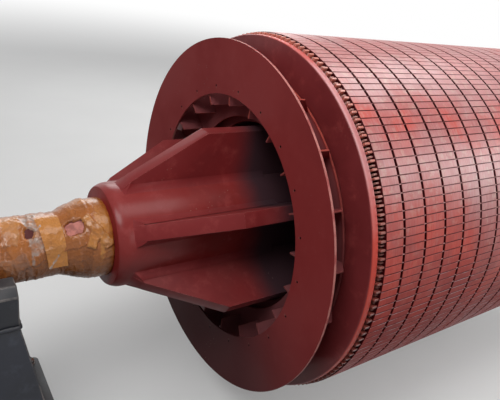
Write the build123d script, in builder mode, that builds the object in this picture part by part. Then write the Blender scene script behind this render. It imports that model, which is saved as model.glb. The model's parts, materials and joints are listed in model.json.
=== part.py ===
"""Squirrel-cage rotor shaft of a large electric motor, lying on its two stands.

Frame: +X runs along the shaft, +Z is up, the origin is on the floor under the
middle of the core. Millimetres. Both halves of the rotor are alike, so every
distance along the shaft is measured from the middle of the core, and each end
is built by the same function with side = -1 (photographed end) or +1.

Angles around the shaft start at the top (+Z) and turn towards -Y.
"""

import os
from math import atan2, cos, degrees, radians, sin

from build123d import *

# Dimensions
AXIS_HEIGHT = 800.0            # shaft centre line above the floor

# laminated core
CORE_RADIUS = 680.0
CORE_BORE_RADIUS = 354.5
DUCT_COUNT = 16
DUCT_PITCH = 98.5
DUCT_WIDTH = 10.0
END_PACKET_LENGTH = 75.0
CLAMP_THICKNESS = 16.0
CLAMP_CLEARANCE = 15.0         # clamp plate's rim to the bars

# cage: bars brazed to a short-circuit ring at each end
BAR_COUNT = 160
BAR_PHASE = 1.3                # degrees from the top to the first bar
BAR_WIDTH = 7.5
BAR_DEPTH = 77.0
BAR_SETBACK = 3.0              # bars lie this far under the core's surface
BAR_OVERHANG = 20.0            # bar length between core and ring
RING_SETBACK = 11.0            # ring's surface under the core's
RING_DEPTH = 129.0
RING_THICKNESS = 28.0
RING_CHAMFER = 4.0

# fan: back plate, radial blades and shroud disc
FAN_GAP = 4.0                  # ring to back plate
FAN_SETBACK = 19.0             # shroud's rim under the ring's surface
FAN_WIDTH = 110.0              # between back plate and shroud
BACK_THICKNESS = 8.0
BACK_OVERLAP = 23.0            # back plate's rim over the ring's inner edge
BACK_CLEARANCE = 20.5          # core bore to the back plate's inner edge
BLOCK_COUNT = 12               # blocks that carry the fan on the clamp plate
BLOCK_SIZE = 40.0
BLOCK_MARGIN = 57.0            # from the back plate's inner edge to a block's centre
SHROUD_THICKNESS = 8.0
SHROUD_BREADTH = 190.0
SHROUD_DISH = 16.5             # shroud's inner edge lies this far behind its rim
BLADE_COUNT = 21
BLADE_PHASE = 10.7
BLADE_THICKNESS = 6.0
BLADE_SETBACK = 40.0           # blades end this far under the shroud's rim
BLADE_TIP_WIDTH = 68.0
BLADE_PROUD = 40.0             # blades reach this far into the shroud's eye
HOLE_COUNT = 21                # small holes for balance weights
HOLE_PHASE = 53.5
HOLE_RADIUS = 2.75
HOLE_MARGIN = 27.5             # from the shroud's inner edge

# spider: the shaft body and six long ribs
BODY_RADIUS = 176.0
RIB_COUNT = 6
RIB_PHASE = 2.5                # degrees from the top to the first rib
RIB_THICKNESS = 50.0
RIB_LEVEL_LENGTH = 94.0        # level edge outside the shroud
RIB_SLOPE_LENGTH = 259.0
RIB_NOSE_LENGTH = 32.0
RIB_NOSE_HEIGHT = 29.5         # over the shaft body, where slope and nose meet
RIB_EXCESS = 10.0              # of the flat blank, trimmed round to body and bore

# shaft ends
SHOULDER_LENGTH = 52.0         # body beyond the ribs
SHOULDER_ROUND = 37.0          # length of the rounded rim
SHOULDER_DROP = 12.0
SEAT_RADIUS = 126.0
SEAT_LENGTH = 63.0
CONE_LENGTH = 60.0
JOURNAL_RADIUS = 95.0
JOURNAL_LENGTH = 370.0
STUB_RADIUS = 80.0
STUB_LENGTH = 250.0
STUB_CHAMFER = 6.0
CENTRE_HOLE_RADIUS = 12.0
CENTRE_HOLE_DEPTH = 20.8
WRAP_THICKNESS = 5.0
WRAP_RUNOUT = 25.0             # the wrap bridges the cone and meets the journal here
WRAP_SETBACK = 30.0            # bare journal beyond the wrap

# stands
STAND_OFFSET = 248.0           # from the start of the journal to the stand's middle
STAND_TOP_LENGTH = 160.0
STAND_TOP_WIDTH = 340.0
STAND_FOOT_LENGTH = 400.0
STAND_WALL = 12.0
BASE_MARGIN_X = 40.0           # floor plate beyond the stand's foot
BASE_MARGIN_Y = 70.0
BASE_THICKNESS = 30.0
BASE_CORNER = 20.0
BASE_HOLE_RADIUS = 13.0
BASE_EDGE_X = 40.0             # plate edge to the middle of an anchor hole
BASE_EDGE_Y = 30.0
SADDLE_HEIGHT = 130.0
SADDLE_DROP = 30.0             # shaft centre line to the saddle's top
SADDLE_CHAMFER = 25.0

# Worked out from them
CORE_HALF = (DUCT_COUNT / 2 - 0.5) * DUCT_PITCH + DUCT_WIDTH / 2 + END_PACKET_LENGTH
RING_RADIUS = CORE_RADIUS - RING_SETBACK
RING_INNER_RADIUS = RING_RADIUS - RING_DEPTH
RING_REAR = CORE_HALF + BAR_OVERHANG
RING_FRONT = RING_REAR + RING_THICKNESS
BAR_MID_RADIUS = CORE_RADIUS - BAR_SETBACK - BAR_DEPTH / 2
CLAMP_RADIUS = BAR_MID_RADIUS - BAR_DEPTH / 2 - CLAMP_CLEARANCE
BACK_REAR = RING_FRONT + FAN_GAP
BACK_FRONT = BACK_REAR + BACK_THICKNESS
BACK_RADIUS = RING_INNER_RADIUS + BACK_OVERLAP
BACK_INNER_RADIUS = CORE_BORE_RADIUS + BACK_CLEARANCE
BLOCK_RADIUS = BACK_INNER_RADIUS + BLOCK_MARGIN
SHROUD_REAR = BACK_FRONT + FAN_WIDTH
SHROUD_FRONT = SHROUD_REAR + SHROUD_THICKNESS
SHROUD_RADIUS = RING_RADIUS - FAN_SETBACK
SHROUD_INNER_RADIUS = SHROUD_RADIUS - SHROUD_BREADTH
BLADE_INNER_RADIUS = SHROUD_INNER_RADIUS - BLADE_PROUD
BLADE_OUTER_RADIUS = SHROUD_RADIUS - BLADE_SETBACK
HOLE_CIRCLE_RADIUS = SHROUD_INNER_RADIUS + HOLE_MARGIN
RIB_KINK = SHROUD_FRONT + RIB_LEVEL_LENGTH
RIB_NOSE = RIB_KINK + RIB_SLOPE_LENGTH
RIB_END = RIB_NOSE + RIB_NOSE_LENGTH
SHOULDER = RIB_END + SHOULDER_LENGTH
SHOULDER_RADIUS = BODY_RADIUS - SHOULDER_DROP
SEAT_END = SHOULDER + SEAT_LENGTH
JOURNAL_START = SEAT_END + CONE_LENGTH
JOURNAL_END = JOURNAL_START + JOURNAL_LENGTH
SHAFT_END = JOURNAL_END + STUB_LENGTH
WRAP_RADIUS = JOURNAL_RADIUS + WRAP_THICKNESS
WRAP_END = JOURNAL_END - WRAP_SETBACK
STAND_CENTRE = JOURNAL_START + STAND_OFFSET
SADDLE_TOP = AXIS_HEIGHT - SADDLE_DROP
SADDLE_BOTTOM = SADDLE_TOP - SADDLE_HEIGHT
STAND_SPREAD = STAND_FOOT_LENGTH - STAND_TOP_LENGTH
STAND_FOOT_WIDTH = STAND_TOP_WIDTH + STAND_SPREAD
STAND_TAPER = degrees(atan2(STAND_SPREAD / 2, SADDLE_BOTTOM - BASE_THICKNESS))
BASE_LENGTH = STAND_FOOT_LENGTH + 2 * BASE_MARGIN_X
BASE_WIDTH = STAND_FOOT_WIDTH + 2 * BASE_MARGIN_Y
ENDS = {"drive": -1, "far": 1}

SHAFT_AXIS = Axis((0, 0, AXIS_HEIGHT), (1, 0, 0))


def profile_plane(angle: float = 0.0) -> Plane:
    """Plane through the shaft's axis: local X along the shaft, local Y outward."""
    turn = radians(angle)
    return Plane(
        origin=(0, 0, AXIS_HEIGHT), x_dir=(1, 0, 0), z_dir=(0, -cos(turn), -sin(turn))
    )


def cross_plane(x: float) -> Plane:
    """Plane square to the shaft at x: local X up, local Y towards -Y."""
    return Plane(origin=(x, 0, AXIS_HEIGHT), x_dir=(0, 0, 1), z_dir=(1, 0, 0))


def save(piece: BuildPart, name: str) -> None:
    """Label a finished piece and write its STEP file."""
    piece.part.label = name
    export_step(piece.part, f"parts/{name}.step")


def disc(start: float, end: float, inner: float, outer: float) -> None:
    """Add a flat ring between two places along the shaft to the open part."""
    with BuildSketch(cross_plane(min(start, end))) as face:
        Circle(outer)
        Circle(inner, mode=Mode.SUBTRACT)
    extrude(face.sketch, amount=abs(end - start))


os.makedirs("parts", exist_ok=True)

# Shaft
with BuildPart() as shaft:
    with BuildSketch(profile_plane()):
        with BuildLine():
            rim_start = (SHOULDER - SHOULDER_ROUND, BODY_RADIUS)
            rim_radius = (SHOULDER_ROUND**2 + SHOULDER_DROP**2) / (2 * SHOULDER_DROP)
            Polyline((0, 0), (0, BODY_RADIUS), rim_start)
            RadiusArc(rim_start, (SHOULDER, SHOULDER_RADIUS), rim_radius)
            Polyline(
                (SHOULDER, SHOULDER_RADIUS),
                (SHOULDER, SEAT_RADIUS),
                (SEAT_END, SEAT_RADIUS),
                (JOURNAL_START, JOURNAL_RADIUS),
                (JOURNAL_END, JOURNAL_RADIUS),
                (JOURNAL_END, STUB_RADIUS),
                (SHAFT_END - STUB_CHAMFER, STUB_RADIUS),
                (SHAFT_END, STUB_RADIUS - STUB_CHAMFER),
                (SHAFT_END, CENTRE_HOLE_RADIUS),
                (SHAFT_END - CENTRE_HOLE_DEPTH, 0),
                (0, 0),
            )
        make_face()
    revolve(axis=SHAFT_AXIS)
    mirror(about=Plane.YZ)
save(shaft, "shaft")

# Ribs
for number in range(RIB_COUNT):
    with BuildPart() as rib:
        with BuildSketch(profile_plane(RIB_PHASE + number * 360 / RIB_COUNT)):
            with BuildLine():
                Polyline(
                    (0, BODY_RADIUS - RIB_EXCESS),
                    (RIB_END, BODY_RADIUS - RIB_EXCESS),
                    (RIB_END, BODY_RADIUS),
                    (RIB_NOSE, BODY_RADIUS + RIB_NOSE_HEIGHT),
                    (RIB_KINK, CORE_BORE_RADIUS),
                    (RIB_KINK, CORE_BORE_RADIUS + RIB_EXCESS),
                    (0, CORE_BORE_RADIUS + RIB_EXCESS),
                    close=True,
                )
            make_face()
            mirror(about=Plane.YZ)
        extrude(amount=RIB_THICKNESS / 2, both=True)
        with BuildSketch(cross_plane(-RIB_END)):
            Circle(CORE_BORE_RADIUS)
            Circle(BODY_RADIUS, mode=Mode.SUBTRACT)
        extrude(amount=2 * RIB_END, mode=Mode.INTERSECT)
    save(rib, f"rib_{number + 1}")

# Core packets
edge = -CORE_HALF
for number in range(DUCT_COUNT + 1):
    end_packet = number in (0, DUCT_COUNT)
    length = END_PACKET_LENGTH if end_packet else DUCT_PITCH - DUCT_WIDTH
    with BuildPart() as packet:
        disc(edge, edge + length, CORE_BORE_RADIUS, CORE_RADIUS)
    save(packet, f"core_packet_{number + 1:02d}")
    edge += length + DUCT_WIDTH


# Both ends of the cage
def clamp_plate(side: int, name: str) -> None:
    """Plate that holds the packets together."""
    with BuildPart() as plate:
        disc(
            side * CORE_HALF, side * (CORE_HALF + CLAMP_THICKNESS), CORE_BORE_RADIUS, CLAMP_RADIUS
        )
    save(plate, name)


def bar_ends(side: int, name: str) -> None:
    """Ends of the cage bars, open to view between the core and the ring."""
    with BuildPart() as bars:
        with BuildSketch(cross_plane(min(side * CORE_HALF, side * RING_REAR))):
            with PolarLocations(BAR_MID_RADIUS, BAR_COUNT, start_angle=BAR_PHASE):
                Rectangle(BAR_DEPTH, BAR_WIDTH)
        extrude(amount=BAR_OVERHANG)
    save(bars, name)


def short_circuit_ring(side: int, name: str) -> None:
    """Heavy ring that joins the bars, with broken outer edges."""
    with BuildPart() as ring:
        disc(side * RING_REAR, side * RING_FRONT, RING_INNER_RADIUS, RING_RADIUS)
        rim = ring.edges().filter_by(GeomType.CIRCLE).group_by(SortBy.RADIUS)[-1]
        chamfer(rim, RING_CHAMFER)
    save(ring, name)


# Fans
def fan_back_plate(side: int, name: str) -> None:
    """Back plate of the fan with the blocks that carry it on the clamp plate."""
    clamp_face = CORE_HALF + CLAMP_THICKNESS
    with BuildPart() as back:
        disc(side * BACK_REAR, side * BACK_FRONT, BACK_INNER_RADIUS, BACK_RADIUS)
        with BuildSketch(cross_plane(min(side * clamp_face, side * BACK_REAR))):
            with PolarLocations(BLOCK_RADIUS, BLOCK_COUNT, start_angle=180 / BLOCK_COUNT):
                Rectangle(BLOCK_SIZE, BLOCK_SIZE)
        extrude(amount=BACK_REAR - clamp_face)
    save(back, name)


def shroud_rear(radius: float) -> float:
    """Place of the dished shroud's rear face at a radius."""
    return SHROUD_REAR - SHROUD_DISH * (SHROUD_RADIUS - radius) / SHROUD_BREADTH


def fan_blades(side: int, name: str) -> None:
    """Radial blades between the dished shroud and the back plate."""
    with BuildPart() as blades:
        for number in range(BLADE_COUNT):
            with BuildSketch(profile_plane(BLADE_PHASE + number * 360 / BLADE_COUNT)):
                with BuildLine():
                    Polyline(
                        (side * shroud_rear(BLADE_INNER_RADIUS), BLADE_INNER_RADIUS),
                        (side * shroud_rear(BLADE_OUTER_RADIUS), BLADE_OUTER_RADIUS),
                        (side * (shroud_rear(BLADE_OUTER_RADIUS) - BLADE_TIP_WIDTH), BLADE_OUTER_RADIUS),
                        (side * BACK_FRONT, BACK_RADIUS),
                        (side * BACK_FRONT, BLADE_INNER_RADIUS),
                        close=True,
                    )
                make_face()
            extrude(amount=BLADE_THICKNESS / 2, both=True)
    save(blades, name)


def fan_shroud(side: int, name: str) -> None:
    """Dished front disc of the fan, with its ring of small balance holes."""
    inner_rear = shroud_rear(SHROUD_INNER_RADIUS)
    with BuildPart() as shroud:
        with BuildSketch(profile_plane()):
            with BuildLine():
                Polyline(
                    (side * SHROUD_REAR, SHROUD_RADIUS),
                    (side * SHROUD_FRONT, SHROUD_RADIUS),
                    (side * (inner_rear + SHROUD_THICKNESS), SHROUD_INNER_RADIUS),
                    (side * inner_rear, SHROUD_INNER_RADIUS),
                    close=True,
                )
            make_face()
        revolve(axis=SHAFT_AXIS)
        with BuildSketch(cross_plane(min(side * inner_rear, side * SHROUD_FRONT))):
            with PolarLocations(HOLE_CIRCLE_RADIUS, HOLE_COUNT, start_angle=HOLE_PHASE):
                Circle(HOLE_RADIUS)
        extrude(amount=SHROUD_FRONT - inner_rear, mode=Mode.SUBTRACT)
    save(shroud, name)


def journal_wrap(side: int, name: str) -> None:
    """Protective wrapping taped around the seat and the journal."""
    with BuildPart() as wrap:
        with BuildSketch(profile_plane()):
            with BuildLine():
                Polyline(
                    (side * SHOULDER, SEAT_RADIUS),
                    (side * SHOULDER, SEAT_RADIUS + WRAP_THICKNESS),
                    (side * SEAT_END, SEAT_RADIUS + WRAP_THICKNESS),
                    (side * (JOURNAL_START + WRAP_RUNOUT), WRAP_RADIUS),
                    (side * WRAP_END, WRAP_RADIUS),
                    (side * WRAP_END, JOURNAL_RADIUS),
                    (side * JOURNAL_START, JOURNAL_RADIUS),
                    (side * SEAT_END, SEAT_RADIUS),
                    close=True,
                )
            make_face()
        revolve(axis=SHAFT_AXIS)
    save(wrap, name)


# Stands
def stand_base(side: int, name: str) -> None:
    """Floor plate of a stand with four anchor holes."""
    with BuildPart() as base:
        with BuildSketch(Plane(origin=(side * STAND_CENTRE, 0, 0))):
            RectangleRounded(BASE_LENGTH, BASE_WIDTH, BASE_CORNER)
            with GridLocations(BASE_LENGTH - 2 * BASE_EDGE_X, BASE_WIDTH - 2 * BASE_EDGE_Y, 2, 2):
                Circle(BASE_HOLE_RADIUS, mode=Mode.SUBTRACT)
        extrude(amount=BASE_THICKNESS)
    save(base, name)


def stand_body(side: int, name: str) -> None:
    """Tapered hollow pedestal, welded from plate."""
    foot = Plane(origin=(side * STAND_CENTRE, 0, BASE_THICKNESS))
    height = SADDLE_BOTTOM - BASE_THICKNESS
    with BuildPart() as body:
        with BuildSketch(foot):
            Rectangle(STAND_FOOT_LENGTH, STAND_FOOT_WIDTH)
        extrude(amount=height, taper=STAND_TAPER)
        with BuildSketch(foot):
            Rectangle(STAND_FOOT_LENGTH - 2 * STAND_WALL, STAND_FOOT_WIDTH - 2 * STAND_WALL)
        extrude(amount=height - STAND_WALL, taper=STAND_TAPER, mode=Mode.SUBTRACT)
    save(body, name)


def stand_saddle(side: int, name: str) -> None:
    """Block with the half-round seat that carries the wrapped journal."""
    start = side * STAND_CENTRE - STAND_TOP_LENGTH / 2
    drop = AXIS_HEIGHT - (SADDLE_BOTTOM + SADDLE_TOP) / 2
    with BuildPart() as saddle:
        with BuildSketch(cross_plane(start)):
            with Locations((-drop, 0)):
                Rectangle(SADDLE_TOP - SADDLE_BOTTOM, STAND_TOP_WIDTH)
            Circle(WRAP_RADIUS, mode=Mode.SUBTRACT)
        extrude(amount=STAND_TOP_LENGTH)
        top_edges = saddle.edges().filter_by(Axis.X).group_by(Axis.Z)[-1]
        chamfer(top_edges.sort_by(Axis.Y)[0:1] + top_edges.sort_by(Axis.Y)[-1:], SADDLE_CHAMFER)
    save(saddle, name)


for end, side in ENDS.items():
    clamp_plate(side, f"clamp_plate_{end}_end")
    bar_ends(side, f"bar_ends_{end}_end")
    short_circuit_ring(side, f"short_circuit_ring_{end}_end")
    fan_back_plate(side, f"fan_back_plate_{end}_end")
    fan_blades(side, f"fan_blades_{end}_end")
    fan_shroud(side, f"fan_shroud_{end}_end")
    journal_wrap(side, f"journal_wrap_{end}_end")
    stand_base(side, f"stand_base_{end}_end")
    stand_body(side, f"stand_body_{end}_end")
    stand_saddle(side, f"stand_saddle_{end}_end")
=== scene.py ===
"""Looks of the rotor shaft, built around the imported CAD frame.

Metres, +Z up, +X along the shaft from the photographed end into the core. The
shaft's axis lies AXIS_HEIGHT over the floor. Angles around it start at the top
and turn towards -Y, as in the CAD.
"""

from __future__ import annotations

import json
import logging
import math
import random
from abc import ABC, abstractmethod
from contextlib import contextmanager
from dataclasses import dataclass
from enum import Enum
from typing import Any, Iterable, Iterator, Sequence

import bmesh
import bpy
from mathutils import Matrix, Vector, noise

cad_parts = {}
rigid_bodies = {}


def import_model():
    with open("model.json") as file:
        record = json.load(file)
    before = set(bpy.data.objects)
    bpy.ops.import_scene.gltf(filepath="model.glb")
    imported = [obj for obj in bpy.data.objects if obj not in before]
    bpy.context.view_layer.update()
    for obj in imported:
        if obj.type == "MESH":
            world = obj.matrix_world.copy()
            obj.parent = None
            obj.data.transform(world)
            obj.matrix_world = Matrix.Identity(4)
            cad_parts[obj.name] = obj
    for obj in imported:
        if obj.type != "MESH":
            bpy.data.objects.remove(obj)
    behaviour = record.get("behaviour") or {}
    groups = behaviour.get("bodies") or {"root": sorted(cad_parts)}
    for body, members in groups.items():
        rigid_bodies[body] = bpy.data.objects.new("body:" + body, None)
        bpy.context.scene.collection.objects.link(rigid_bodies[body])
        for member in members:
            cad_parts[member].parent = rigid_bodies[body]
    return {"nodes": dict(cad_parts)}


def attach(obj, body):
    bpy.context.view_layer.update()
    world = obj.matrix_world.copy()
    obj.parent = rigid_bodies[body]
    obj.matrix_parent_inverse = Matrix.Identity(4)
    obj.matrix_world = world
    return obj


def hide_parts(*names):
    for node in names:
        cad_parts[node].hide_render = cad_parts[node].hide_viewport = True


for leftover in list(bpy.data.objects):
    bpy.data.objects.remove(leftover)
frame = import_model()

LOG = logging.getLogger("rotor")
Colour = tuple[float, float, float]
Point = tuple[float, float, float]
Entry = tuple[str, str, Any]
Material = bpy.types.Material
Mesh = bpy.types.Mesh
Node = bpy.types.Node
Piece = bpy.types.Object
Socket = bpy.types.NodeSocket
Tree = bpy.types.NodeTree

AXIS_HEIGHT = 0.8
CORE_RADIUS = 0.680
CORE_BORE = 0.3545
CORE_HALF = 0.81875
DUCT_PITCH = 0.0985
DUCT_WIDTH = 0.010
DUCT_COUNT = 16
END_PACKET = 0.075
BAR_COUNT = 160
BAR_PHASE = math.radians(1.3)
BAR_PITCH = math.tau / BAR_COUNT
RIB_COUNT = 6
RIB_PHASE = math.radians(2.5)
RIB_HALF = 0.025
BODY_RADIUS = 0.176
RIB_END = 1.38175
SHROUD_REAR = 0.98875
SHROUD_RADIUS = 0.650
SHROUD_SLOPE = 0.0165 / 0.190
RING_RADIUS = 0.669
RING_REAR = 0.83875
RING_THICKNESS = 0.028
HOLE_COUNT = 21
HOLE_CIRCLE = 0.4875
HOLE_PHASE = math.radians(53.5)
HOLE_RADIUS = 0.00275
PAINT_RELIEF = 0.003
HALF_TURN = 180.0
WELD_DISTANCE = 0.00002
FLAT_UNDER = 0.4
SHARP_OVER = 28
SHOULDER = 1.43375
STAND_CENTRE = 1.80475
SQUARE = ((-1, -1), (1, -1), (1, 1), (-1, 1))

# How pale and how red the core is, by degrees from the top; the pale is partly dust and partly a painted
# sheen where highlights fall
PALE_DUST_AND_SHEEN = (
    *((0, 0.6), (14, 0.75), (22, 0.95), (30, 0.9), (39, 0.5), (48, 0.75)),
    *((60, 0.85), (69, 0.45), (77, 0.25), (90, 0.08), (180, 0.0)),
)
LEFT_RED = (
    *((0, 0.35), (18, 0.3), (27, 0.15), (33, 0.6), (41, 1.0), (47, 0.5)),
    *((58, 0.15), (66, 0.5), (77, 0.95), (88, 0.6), (102, 0.3), (180, 0.2)),
)

# How pale the ring's outer face is, partly dust and partly painted sheen, by degrees from the top, and its
# painted highlight stripes by share of its breadth
RING_DUST_AND_SHEEN = ((0, 0.1), (13, 0.3), (25, 0.95), (56, 1.0), (66, 0.65), (78, 0.1), (180, 0.0))
RING_SHEEN_STRIPE = ((0.0, 1.0), (0.16, 0.75), (0.3, 0.3), (0.6, 0.45), (0.8, 1.0), (1.0, 0.9))


class End(Enum):
    """Ends of the rotor, each with the way it faces along X."""

    DRIVE = -1
    FAR = 1

    @property
    def label(self) -> str:
        """Ending of this end's piece names."""
        return f"{self.name.lower()}_end"


def tint(red: int, green: int, blue: int) -> Colour:
    """Turn a colour read in the usual 0 to 255 steps into linear light.

    Args:
        red: Red step.
        green: Green step.
        blue: Blue step.

    Returns:
        The linear colour that Blender's sockets take.
    """
    steps = (red / 255, green / 255, blue / 255)
    return tuple(s / 12.92 if s <= 0.04045 else ((s + 0.055) / 1.055) ** 2.4 for s in steps)


class Graph:
    """A node tree with short calls that add nodes and wire them."""

    def __init__(self, tree: Tree) -> None:
        """Take the tree that the calls add to.

        Args:
            tree: Shader or geometry node tree.
        """
        self.tree = tree

    def feed(self, socket: Socket, value: Any) -> None:
        """Link a socket, or set its value.

        Args:
            socket: Input that takes the value.
            value: Another socket, a number, a colour or a vector.
        """
        if isinstance(value, Socket):
            self.tree.links.new(value, socket)
        elif socket.type == "RGBA" and len(value) == 3:
            socket.default_value = (*value, 1.0)
        else:
            socket.default_value = value

    def add(self, kind: str, inputs: dict[str | int, Any] | None = None, **settings: Any) -> Node:
        """Add a node.

        Args:
            kind: Blender's name of the node type.
            inputs: Values or sockets by the input's name or place.
            **settings: Properties of the node.

        Returns:
            The new node.
        """
        node = self.tree.nodes.new(kind)
        for key, value in settings.items():
            setattr(node, key, value)
        self.wire(node, inputs or {})
        return node

    def first(self, kind: str, inputs: dict[str | int, Any] | None = None, **settings: Any) -> Socket:
        """Add a node and return its first output."""
        return self.add(kind, inputs, **settings).outputs[0]

    def wire(self, node: Node, inputs: dict[str | int, Any]) -> None:
        """Link or set several inputs of a node."""
        for key, value in inputs.items():
            self.feed(node.inputs[key], value)

    def math(self, operation: str, *values: Any) -> Socket:
        """Add a math node and return its result."""
        return self.first("ShaderNodeMath", dict(enumerate(values)), operation=operation)

    def times(self, one: Any, other: Any) -> Socket:
        """Multiply two values."""
        return self.math("MULTIPLY", one, other)

    def plus(self, one: Any, other: Any) -> Socket:
        """Add two values."""
        return self.math("ADD", one, other)

    def minus(self, whole: Any, part: Any) -> Socket:
        """Take a part from a value."""
        return self.math("SUBTRACT", whole, part)

    def share(self, part: Any, whole: Any) -> Socket:
        """Divide a value by another."""
        return self.math("DIVIDE", part, whole)

    def blend(self, factor: Any, first: Any, second: Any, how: str = "MIX") -> Socket:
        """Mix two colours.

        Args:
            factor: Share of the second colour.
            first: Colour or socket.
            second: Colour or socket.
            how: Blender's name of the blend type.

        Returns:
            The mixed colour.
        """
        inputs = {0: factor, 6: first, 7: second}
        return self.add("ShaderNodeMix", inputs, data_type="RGBA", blend_type=how).outputs[2]

    def ramp(self, value: Any, low: float, high: float, start: float = 0.0, end: float = 1.0) -> Socket:
        """Move a value smoothly from one range to another.

        Args:
            value: Socket that is read.
            low: Value where the result starts to change.
            high: Value where it stops.
            start: Result at and below low.
            end: Result at and above high.

        Returns:
            The new value.
        """
        inputs = {0: value, 1: low, 2: high, 3: start, 4: end}
        return self.first("ShaderNodeMapRange", inputs, interpolation_type="SMOOTHSTEP")

    def stops(self, value: Any, stops: Sequence[tuple[float, float]], span: float) -> Socket:
        """Read a value off a line through several stops.

        Args:
            value: Socket that is read, from 0 to span.
            stops: Value and result of each stop, in order.
            span: Largest value.

        Returns:
            The result, from 0 to 1.
        """
        share = self.share(value, span)
        node = self.add("ShaderNodeValToRGB", {0: share})
        elements = node.color_ramp.elements
        while len(elements) < len(stops):
            elements.new(1.0)
        for element, (place, level) in zip(elements, stops):
            element.position = place / span
            element.color = (level, level, level, 1.0)
        return node.outputs[0]

    def noise(self, place: Any, scale: Any, detail: float = 3.0, rough: float = 0.55) -> Socket:
        """Add a noise texture and return its value, which lies around one half."""
        inputs = {"Vector": place, "Scale": scale, "Detail": detail, "Roughness": rough}
        return self.first("ShaderNodeTexNoise", inputs)

    def mark(self, name: str) -> Socket:
        """Read a value that the mesh carries."""
        return self.add("ShaderNodeAttribute", attribute_name=name).outputs["Fac"]

    def group(self, group: Tree, inputs: dict[str, Any] | None = None) -> Any:
        """Place a shader group with its own values and return its outputs."""
        return self.add("ShaderNodeGroup", inputs, node_tree=group).outputs


SOCKETS = {
    "float": "NodeSocketFloat",
    "int": "NodeSocketInt",
    "colour": "NodeSocketColor",
    "vector": "NodeSocketVector",
    "geometry": "NodeSocketGeometry",
    "material": "NodeSocketMaterial",
}
COAT_OUTPUTS = (("Color", "colour"), ("Mask", "float"))

# Uneven border between tones: degrees per metre from a place along the shaft, and two swings in degrees
BORDER_START = -0.55
BORDER_SLANT = -14.0
BORDER_BROAD = 34.0
BORDER_FINE = 16.0


def new_group(
    name: str, inputs: Sequence[Entry], outputs: Sequence[tuple[str, str]], kind: str = "ShaderNodeTree"
) -> tuple[Graph, Any, Any]:
    """Start a node group with named inputs and outputs.

    Args:
        name: Name of the group.
        inputs: Name, socket word and starting value of each input.
        outputs: Name and socket word of each output.
        kind: ShaderNodeTree or GeometryNodeTree.

    Returns:
        The group's graph, the sockets that it is given and those that it fills.
    """
    tree = bpy.data.node_groups.new(name, kind)
    for label, word, value in inputs:
        socket = tree.interface.new_socket(label, in_out="INPUT", socket_type=SOCKETS[word])
        if value is not None:
            socket.default_value = (*value, 1.0) if word == "colour" else value
    for label, word in outputs:
        tree.interface.new_socket(label, in_out="OUTPUT", socket_type=SOCKETS[word])
    graph = Graph(tree)
    return graph, graph.add("NodeGroupInput").outputs, graph.add("NodeGroupOutput").inputs


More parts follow.
